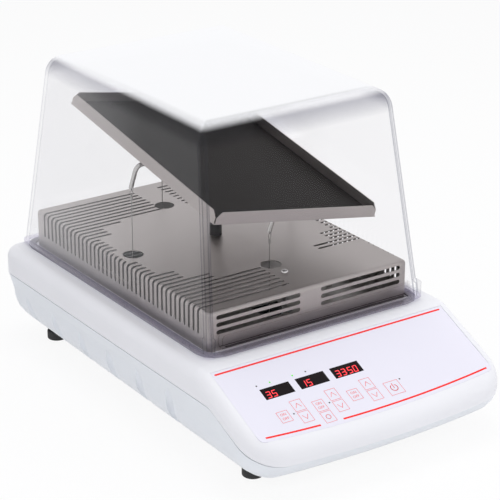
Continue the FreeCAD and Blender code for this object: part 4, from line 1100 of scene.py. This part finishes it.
def deck_slots():
    """Cutters of the slots that run over the deck's edge and down its sides."""
    slot = block((0, -SLOT_HALF, SLOT_FOOT_Z), (SLOT_END_X, SLOT_HALF, SLOT_HEAD_Z))

    def to_round(edge):
        lower = abs(along(edge).x) > 0.9 and middle(edge).z < SLOT_FOOT_Z + 0.01
        return lower or (upright(edge) and middle(edge).x < 0.01)

    bevelled(slot, to_round, SLOT_ROUND, 3)
    first_y = PIVOT.y + (len(SLOT_STARTS) - 1) / 2 * SLOT_PITCH
    tools = []
    for column, side in enumerate((-1, 1)):
        turn = Matrix.Rotation(0 if side > 0 else math.pi, 4, "Z")
        for index, starts in enumerate(SLOT_STARTS):
            spot = (side * starts[column], first_y - index * SLOT_PITCH, 0)
            tools.append(copy_of(slot, Matrix.Translation(spot) @ turn))
    bpy.data.objects.remove(slot)
    return tools


def front_slots():
    lane = block([-half for half in LANE_HALF], LANE_HALF)
    bevelled(lane, lambda e: abs(along(e).y) > 0.9, LANE_ROUND, 5)
    tools = [copy_of(lane, Matrix.Translation((x, DECK_FRONT, z)))
             for z in LANE_ZS for x in (-LANE_X, LANE_X)]
    bpy.data.objects.remove(lane)
    return tools


def deck_holes():
    """Cutters of the holes round the four wires and the post."""
    spots = [(dx * WIRE_HOLE_REACH, dy * WIRE_HOLE_REACH, WIRE_HOLE_R, 48) for dx, dy in PLACES.values()]
    tools = []
    for dx, dy, radius, sides in spots + [(0, 0, POST_HOLE_R, 40)]:
        x, y = dx, dy + PIVOT.y
        tools.append(pole(radius, (x, y, DECK_TOP - DRILL_BELOW), (x, y, DECK_TOP + DRILL_ABOVE), sides))
    return tools


def turned_collar():
    low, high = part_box("post_collar")
    ring = pole(COLLAR_R, (0, PIVOT.y, low.z), (0, PIVOT.y, high.z))
    cut(ring, pole(COLLAR_BORE_R, (0, PIVOT.y, low.z - 0.01), (0, PIVOT.y, high.z + 0.01)))
    return smooth(softened(named(ring, "collar"), COLLAR_EDGE))


def dome_screw():
    top = DECK_TOP + SCREW_TALL
    head = pole(SCREW_R, (0, SCREW_Y, DECK_TOP), (0, SCREW_Y, top), 32)
    bevelled(head, lambda e: middle(e).z > top - 0.0001 and sharp_edges(e), SCREW_DOME, 5)
    cut(head, pole(SCREW_SOCKET_R, (0, SCREW_Y, top - SCREW_SOCKET_DEEP), (0, SCREW_Y, top + 0.0016), 6))
    rear = pole(SCREW_R, (0, DECK_REAR, REAR_SCREW_Z), (0, DECK_REAR + REAR_SCREW_TALL, REAR_SCREW_Z), 32)
    return smooth(named(join([head, softened(rear, REAR_SCREW_EDGE)]), "screws_of_deck"))


# Tray, its arms and tethers

def tray():
    x, y = TRAY_HALF.x, TRAY_HALF.y
    floor_z, above = TRAY_LOW + TRAY_SHEET, 0.08
    pan = block((-x, -y, TRAY_LOW), (x, y, TRAY_LOW + TRAY_RIM))
    cut(pan, block((-x + TRAY_SHEET, -y + TRAY_SHEET, floor_z), (x - TRAY_SHEET, y - TRAY_SHEET, above)))
    for sx in (-1, 1):
        for sy in (-1, 1):
            notch = block((-TRAY_NOTCH, -TRAY_NOTCH, floor_z), (TRAY_NOTCH, TRAY_NOTCH, above))
            cut(pan, put(notch, Matrix.Translation((sx * x, sy * y, 0))))
            cut(pan, corner_cutter(sx * (x - TRAY_NOTCH), sy * y, "Y", (1, TRAY_CHAMFER_SLIM, 1, 1)))
            cut(pan, corner_cutter(sx * x, sy * (y - TRAY_NOTCH), "X", (TRAY_CHAMFER_SLIM, 1, 1, 1)))
    return smooth(put(softened(named(pan, "tray"), TRAY_EDGE), TILTED))


def corner_cutter(x, y, axis, slim):
    """A block on its edge, which takes the upper corner off a rim's end."""
    cutter = block([-TRAY_CHAMFER] * 3, [TRAY_CHAMFER] * 3)
    turn = Matrix.Rotation(math.pi / 4, 4, axis)
    return put(cutter, Matrix.Translation((x, y, TRAY_LOW + TRAY_RIM)) @ turn @ Matrix.Diagonal(slim))


def mat():
    gap = TRAY_SHEET + MAT_GAP
    x, y, low = TRAY_HALF.x - gap, TRAY_HALF.y - gap, TRAY_LOW + TRAY_SHEET
    piece = bevelled(block((-x, -y, low), (x, y, low + MAT_T)), upright, MAT_CORNER, 4)
    return smooth(put(softened(named(piece, "mat"), MAT_EDGE, 3), TILTED))


def rod_through(points, radius, steps=10, bend=ARM_BEND):
    """A round rod along straight runs joined by bends."""
    points = [Vector(point) for point in points]
    knots = [(points[0], points[0], points[0])]
    for before, corner, after in zip(points, points[1:], points[2:]):
        back, ahead = before - corner, after - corner
        reach = min(bend, back.length * RUN_SHARE, ahead.length * RUN_SHARE)
        enter = corner + back.normalized() * reach
        leave = corner + ahead.normalized() * reach
        knots.append((enter, enter, enter + (corner - enter) * BEND_PULL))
        knots.append((leave, leave + (corner - leave) * BEND_PULL, leave))
    knots.append((points[-1], points[-1], points[-1]))
    bpy.ops.curve.primitive_bezier_curve_add(location=(0, 0, 0))
    rod = bpy.context.object
    rod.data.splines.clear()
    spline = rod.data.splines.new("BEZIER")
    spline.bezier_points.add(len(knots) - 1)
    for knot, (place, left, right) in zip(spline.bezier_points, knots):
        knot.handle_left_type = knot.handle_right_type = "FREE"
        knot.co = place
        knot.handle_left = left
        knot.handle_right = right
    rod.data.dimensions = "3D"
    rod.data.resolution_u = steps
    rod.data.bevel_depth = radius
    rod.data.bevel_resolution = 5
    rod.data.use_fill_caps = True
    only(rod)
    bpy.ops.object.convert(target="MESH")
    return recalculate(settle(rod))


def arm(name, dx, dy):
    x, y = dx * ARM_REACH, dy * ARM_REACH
    start, end = (dx * ARM_START, dy * ARM_START, ARM_Z), (x, y, EYE_Z - ARM_BELOW_EYE)
    rod = rod_through([start, (x, y, ARM_Z), end], ARM_R)
    return smooth(put(named(rod, "arm_" + name), TILTED))


def eye_of(dx, dy):
    return TILTED @ Vector((dx * ARM_REACH, dy * ARM_REACH, EYE_Z))


def hoop(name, dx, dy):
    """Bright half ring that swings in the arm's end."""
    ring = rod_through(half_ring(HOOP_R, 8), HOOP_WIRE_R, 2, HOOP_BEND)
    place = Matrix.Translation(eye_of(dx, dy)) @ Matrix.Rotation(REST_PITCH, 4, "X")
    return smooth(put(named(ring, "hoop_" + name), place))


def half_ring(radius, steps):
    """The lower half of a ring in the YZ plane, with a short leg inwards at each end."""
    angles = [math.radians(180 + 180 * i / steps) for i in range(steps + 1)]
    points = [(0, radius * math.cos(angle), radius * math.sin(angle)) for angle in angles]
    return [(0, points[0][1] + HOOP_LEG, 0)] + points + [(0, points[-1][1] - HOOP_LEG, 0)]


def hanger(name, dx, dy):
    """Wire loop, crimped sleeve and the wire down to the drive."""
    left = [(-LOOP_GAP, 0, LOOP_FOOT), (-LOOP_HALF, 0, LOOP_MIDDLE), (-LOOP_GAP, 0, LOOP_TOP)]
    right = [(-x, y, z) for x, y, z in reversed(left)]
    loop = rod_through(left + right, LOOP_WIRE_R, 4, LOOP_BEND)
    sleeve = softened(pole(SLEEVE_R, (0, 0, SLEEVE_FOOT), (0, 0, SLEEVE_TOP), 24), SLEEVE_EDGE)
    wire = pole(WIRE_R, (0, 0, WIRE_FOOT), (0, 0, WIRE_TOP), 12)
    piece = named(join([loop, sleeve, wire]), "hanger_" + name)
    return smooth(put(piece, Matrix.Translation(eye_of(dx, dy))))


# Clear cover

def plan_ring(x0, y0, x1, y1, z, radius):
    """A rounded rectangle at a height, as a loop of edges."""
    bpy.ops.mesh.primitive_plane_add(size=1, location=((x0 + x1) / 2, (y0 + y1) / 2, z))
    ring = bpy.context.object
    ring.scale = (x1 - x0, y1 - y0, 1)
    settle(ring)
    editing(ring, "VERT")
    bpy.ops.mesh.select_all(action="SELECT")
    bpy.ops.mesh.bevel(offset=radius, segments=8, affect="VERTICES", clamp_overlap=False)
    bpy.ops.mesh.delete(type="ONLY_FACE")
    done()
    return ring


def tapered(inset):
    """The cover as a solid block, narrower at the top, with its top edges well rounded."""
    x0, y0, x1, y1, z0 = LID_LOW
    tx0, ty0, tx1, ty1, z1 = LID_HIGH
    top, radius, corner = z1 - inset, LID_ROUND - inset, LID_CORNER - inset * 0.8
    steps = [(z0 - inset, 0.0)]
    for i in range(LID_STEPS + 1):
        angle = math.pi / 2 * i / LID_STEPS
        steps.append((top - radius * (1 - math.sin(angle)), radius * (1 - math.cos(angle))))
    rings = []
    for z, shrink in steps:
        share = (z - z0) / (z1 - z0)
        edge = [low + (high - low) * share for low, high in ((x0, tx0), (y0, ty0), (x1, tx1), (y1, ty1))]
        gap = inset + shrink
        rings.append(plan_ring(edge[0] + gap, edge[1] + gap, edge[2] - gap, edge[3] - gap, z,
                               max(corner - shrink, LEAST_LID_CORNER)))
    body = join(rings)
    editing(body, "EDGE")
    for (low_z, _), (high_z, _) in zip(steps, steps[1:]):
        choose(body, "EDGE", lambda e: level_at(e, (low_z, high_z), HAIR / 10))
        bpy.ops.mesh.bridge_edge_loops()
    for z in (steps[0][0], steps[-1][0]):
        choose(body, "EDGE", lambda e: level_at(e, (z,), HAIR / 10))
        bpy.ops.mesh.edge_face_add()
    done()
    return recalculate(body)


def rounded_slab(half_x, front, rear, low, high, radius):
    return bevelled(block((-half_x, front, low), (half_x, rear, high)), upright, radius, 8)


def finger_block(grow, front, rear):
    """The finger recess as a block, grown by the wall where the inside needs it."""
    half = FINGER_HALF + grow
    slab = block((-half, front, FINGER_LOW - grow), (half, rear, FINGER_HIGH + grow))
    return bevelled(slab, lambda e: abs(along(e).y) > 0.9, FINGER_ROUND + grow, 8)


def cover():
    _, y0, x1, y1, z0 = LID_LOW
    body = tapered(0)
    flange = rounded_slab(x1 + FLANGE_OUT, y0 - FLANGE_OUT, y1 + FLANGE_OUT, z0, z0 + FLANGE_T,
                          LID_CORNER + FLANGE_OUT)
    combine(body, softened(flange, FLANGE_EDGE), "UNION")
    lip = bevelled(block((-LIP_HALF, y0 - LIP_OUT, z0), (LIP_HALF, y0 + LIP_IN, z0 + LIP_T)),
                   lambda e: upright(e) and middle(e).y < y0, LIP_ROUND, 6)
    combine(body, softened(lip, LIP_EDGE), "UNION")
    for side in (-1, 1):
        cleat = rounded_slab(CLEAT_HALF, y0 - CLEAT_OUT, y0 + CLEAT_IN, z0, z0 + CLEAT_TALL, CLEAT_ROUND)
        put(cleat, Matrix.Translation((side * CLEAT_X, 0, 0)))
        combine(body, softened(cleat, CLEAT_EDGE, 3), "UNION")
    inner = tapered(LID_WALL)
    cut(inner, finger_block(LID_WALL, y0 - FINGER_DEPTH, y0 + FINGER_DEPTH + LID_WALL))
    cut(body, inner)
    cut(body, finger_block(0, y0 - 2 * FINGER_DEPTH, y0 + FINGER_DEPTH))
    for x in (-LEAF_X, LEAF_X):
        low = (x - LEAF_HALF, y1 + LEAF_FREE, z0 - LEAF_UNDER)
        cut(body, block(low, (x + LEAF_HALF, y1 + LEAF_OUT, z0 + LEAF_TALL)))
    return smooth(named(body, "cover"), 25)


# Finishes of the pieces that stay as they are in the frame

def frame_finishes():
    plain_steel = brushed_steel("inner_steel", (0.56, 0.54, 0.53), 0.34)
    bar_steel = bright_steel("bar_steel", (0.62, 0.60, 0.59))
    aluminium = bright_steel("machined_aluminium", (0.68, 0.68, 0.70), 0.30)
    black_plastic = moulded_plastic("black_plastic", (0.030, 0.030, 0.033), 0.45, 0.00004)
    dark_paint = moulded_plastic("dark_paint", (0.045, 0.045, 0.05), 0.40, 0.00003)
    screws = bright_steel("plated_steel", (0.72, 0.72, 0.73), 0.14)
    finishes = {
        "stainless_sheet": plain_steel, "stainless_bar": bar_steel, "bright_screws": screws,
        "hub_aluminium": aluminium, "seal_rubber": rubber("seal_rubber", (0.26, 0.25, 0.29)),
        "hinge_steel": brushed_steel("hinge_steel", (0.55, 0.55, 0.55), 0.33),
        "key_film": film("key_film", OVERLAY_COLOUR), "display_glass": dark_glass(),
        "display_digits": dark_paint, "circuit_board": circuit_green(), "motor_black": dark_paint,
        "fan_plastic": black_plastic, "inlet_plastic": black_plastic, "probe_steel": bar_steel,
        "drum_plastic": moulded_plastic("drum_plastic", (0.62, 0.60, 0.52), 0.42),
        "zinc_case": brushed_steel("zinc_plate", (0.58, 0.60, 0.62), 0.42, lines=200),
    }
    for part in frame["record"]["subparts"]:
        if part["material_slot"] in finishes:
            dress(frame["nodes"][part["node"]], finishes[part["material_slot"]])


def dress(piece, material):
    if not piece.material_slots:
        piece.data.materials.append(material)
    for held in piece.material_slots:
        held.material = material


def add(piece, body, slot, material, *nodes):
    """Gives a finished piece its material and body, and hides the frame parts it stands for. The slot is
    not used.
    """
    piece.data.materials.clear()
    piece.data.materials.append(material)
    for face in piece.data.polygons:
        face.material_index = 0
    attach(piece, body)
    if nodes:
        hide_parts(*nodes)
    return piece


def cabinet_pieces():
    shell_plastic = moulded_plastic("cabinet_white", (0.83, 0.83, 0.86))
    pan_plastic = moulded_plastic("pan_white", (0.80, 0.825, 0.86))
    add(upper_shell(), "base", "cabinet_plastic", shell_plastic, "upper_shell")
    add(lower_pan(), "base", "cabinet_plastic", pan_plastic, "lower_pan")
    add(turned_feet(), "base", "seal_rubber", rubber("foot_rubber", (0.020, 0.020, 0.021)), "rubber_feet")


def panel_pieces():
    red = ink("red_print", (0.92, 0.035, 0.028))
    pale_red = ink("key_print", (0.82, 0.09, 0.10))
    figures = lit("red_figures", (1.0, 0.045, 0.060), 1.0)
    green = lit("green_lamp", (0.09, 0.66, 0.02), 0.9)
    unlit = moulded_plastic("unlit_lamp", (0.06, 0.055, 0.06), 0.25)
    add(panel_film(), "base", "overlay_film", film("overlay_film", OVERLAY_COLOUR), "control_overlay")
    lines = [printed_line("top_line", -0.186, 0.184, 0.0, LINE_W),
             bowed_line("foot_line_left", -0.179, -0.098, 0.1195, LINE_W),
             bowed_line("foot_line_right", -0.063, 0.1815, 0.1195, LINE_W)]
    for line in lines:
        add(line, "base", "overlay_film", red)
    for name in KEYS:
        add(key_print(name), name, "key_film", pale_red)
    for text, (u, v, w, h), name in zip(("35", "15", "33:50"), WINDOWS, ("temperature", "speed", "time")):
        lit_digits = digits(text, u - w / 2 + FIGURES_IN, v + h / 2 - FIGURES_UP, "figures_" + name)
        add(lit_digits, "base", "display_digits", figures)
    lit_spots = [LAMPS[1], LAMPS[2]]
    dark_spots = [spot for spot in LAMPS if spot not in lit_spots]
    add(lamp_domes("lamps_lit", lit_spots), "base", "lamp_lens", green, "indicator_lamps")
    add(lamp_domes("lamps_dark", dark_spots), "base", "lamp_lens", unlit)


def chamber_pieces():
    sheet = brushed_steel("brushed_sheet", (0.43, 0.395, 0.385), 0.30)
    tray_steel = brushed_steel("tray_steel", (0.43, 0.395, 0.385), 0.33, turn=(0, 0, math.pi / 2))
    bars = bright_steel("turned_bar", (0.50, 0.49, 0.48), 0.18)
    screws = bright_steel("screw_steel", (0.72, 0.71, 0.71), 0.14)
    wire = bright_steel("wire", (0.36, 0.35, 0.34), 0.30)
    add(deck(), "base", "stainless_sheet", sheet, "deck_cover")
    add(dome_screw(), "base", "bright_screws", screws, "deck_screws")
    collar_rubber = rubber("collar_rubber", (0.018, 0.018, 0.019), 0.4)
    add(turned_collar(), "base", "seal_rubber", collar_rubber, "post_collar")
    add(tray(), "tray", "stainless_sheet", tray_steel, "tray_pan")
    add(mat(), "tray", "mat_rubber", mat_rubber(), "tray_mat")
    for name, (dx, dy) in PLACES.items():
        add(arm(name, dx, dy), "tray", "stainless_bar", bars, "tether_arm_" + name)
        add(hoop(name, dx, dy), "stirrup_" + name, "stainless_bar", screws, "stirrup_" + name)
        add(hanger(name, dx, dy), "tether_" + name, "tether_wire", wire, "tether_" + name)


# Room, light and camera

def light(name, size, place, power):
    bpy.ops.object.light_add(type="AREA", location=place)
    lamp = bpy.context.object
    lamp.name = name
    lamp.data.shape = "RECTANGLE"
    lamp.data.size, lamp.data.size_y = size
    lamp.data.energy = power
    lamp.visible_glossy = False
    lamp.rotation_euler = (Vector(LIT_PLACE) - Vector(place)).to_track_quat("-Z", "Y").to_euler()


def seen_directly(s):
    """1 for what the camera sees straight, in a mirror or through clear plastic."""
    camera_ray, glossy_ray, transmission_ray = [s.node("LightPath", output=i) for i in (0, 3, 6)]
    return camera_ray.at_least(glossy_ray).at_least(transmission_ray)


def room():
    bpy.ops.mesh.primitive_plane_add(size=FLOOR_SIZE, location=(0, 0, 0))
    floor = settle(bpy.context.object)
    floor.name = "floor"
    s = Surface("floor_white")
    diffuse = s.node("BsdfDiffuse", None, {"Color": (0.90, 0.90, 0.91)})
    white = s.node("Emission", None, {"Color": (1, 1, 1), "Strength": 1.0})
    # The shadow is kept: only part of the floor's own shading gives way to white
    dress(floor, s.output(s.mixed(seen_directly(s) * FLOOR_WHITE, diffuse, white)))
    world = bpy.data.worlds.new("room")
    bpy.context.scene.world = world
    sky = Surface("room", world)
    plain = sky.node("Background", None, {"Color": (0.95, 0.96, 1.0), "Strength": WORLD_LIGHT})
    bright = sky.node("Background", None, {"Color": (1, 1, 1), "Strength": 1.0})
    sky.output(sky.mixed(seen_directly(sky), plain, bright), "OutputWorld")
    for name, size, place, power in STUDIO:
        light(name, size, place, power)


def camera():
    towards = Vector((math.sin(AZIMUTH) * math.cos(LOOK_DOWN), math.cos(AZIMUTH) * math.cos(LOOK_DOWN),
                      -math.sin(LOOK_DOWN)))
    bpy.ops.object.camera_add(location=TARGET - towards * DISTANCE,
                              rotation=(math.pi / 2 - LOOK_DOWN, 0, -AZIMUTH))
    seen_from = bpy.context.object
    seen_from.data.lens = FOCAL
    seen_from.data.sensor_width = 36
    bpy.context.scene.camera = seen_from


bpy.ops.object.select_all(action="DESELECT")
camera()
room()
frame_finishes()
cabinet_pieces()
panel_pieces()
chamber_pieces()
add(cover(), "lid", "clear_cover", clear_plastic(), "lid")
bpy.context.scene.view_settings.view_transform = "Standard"
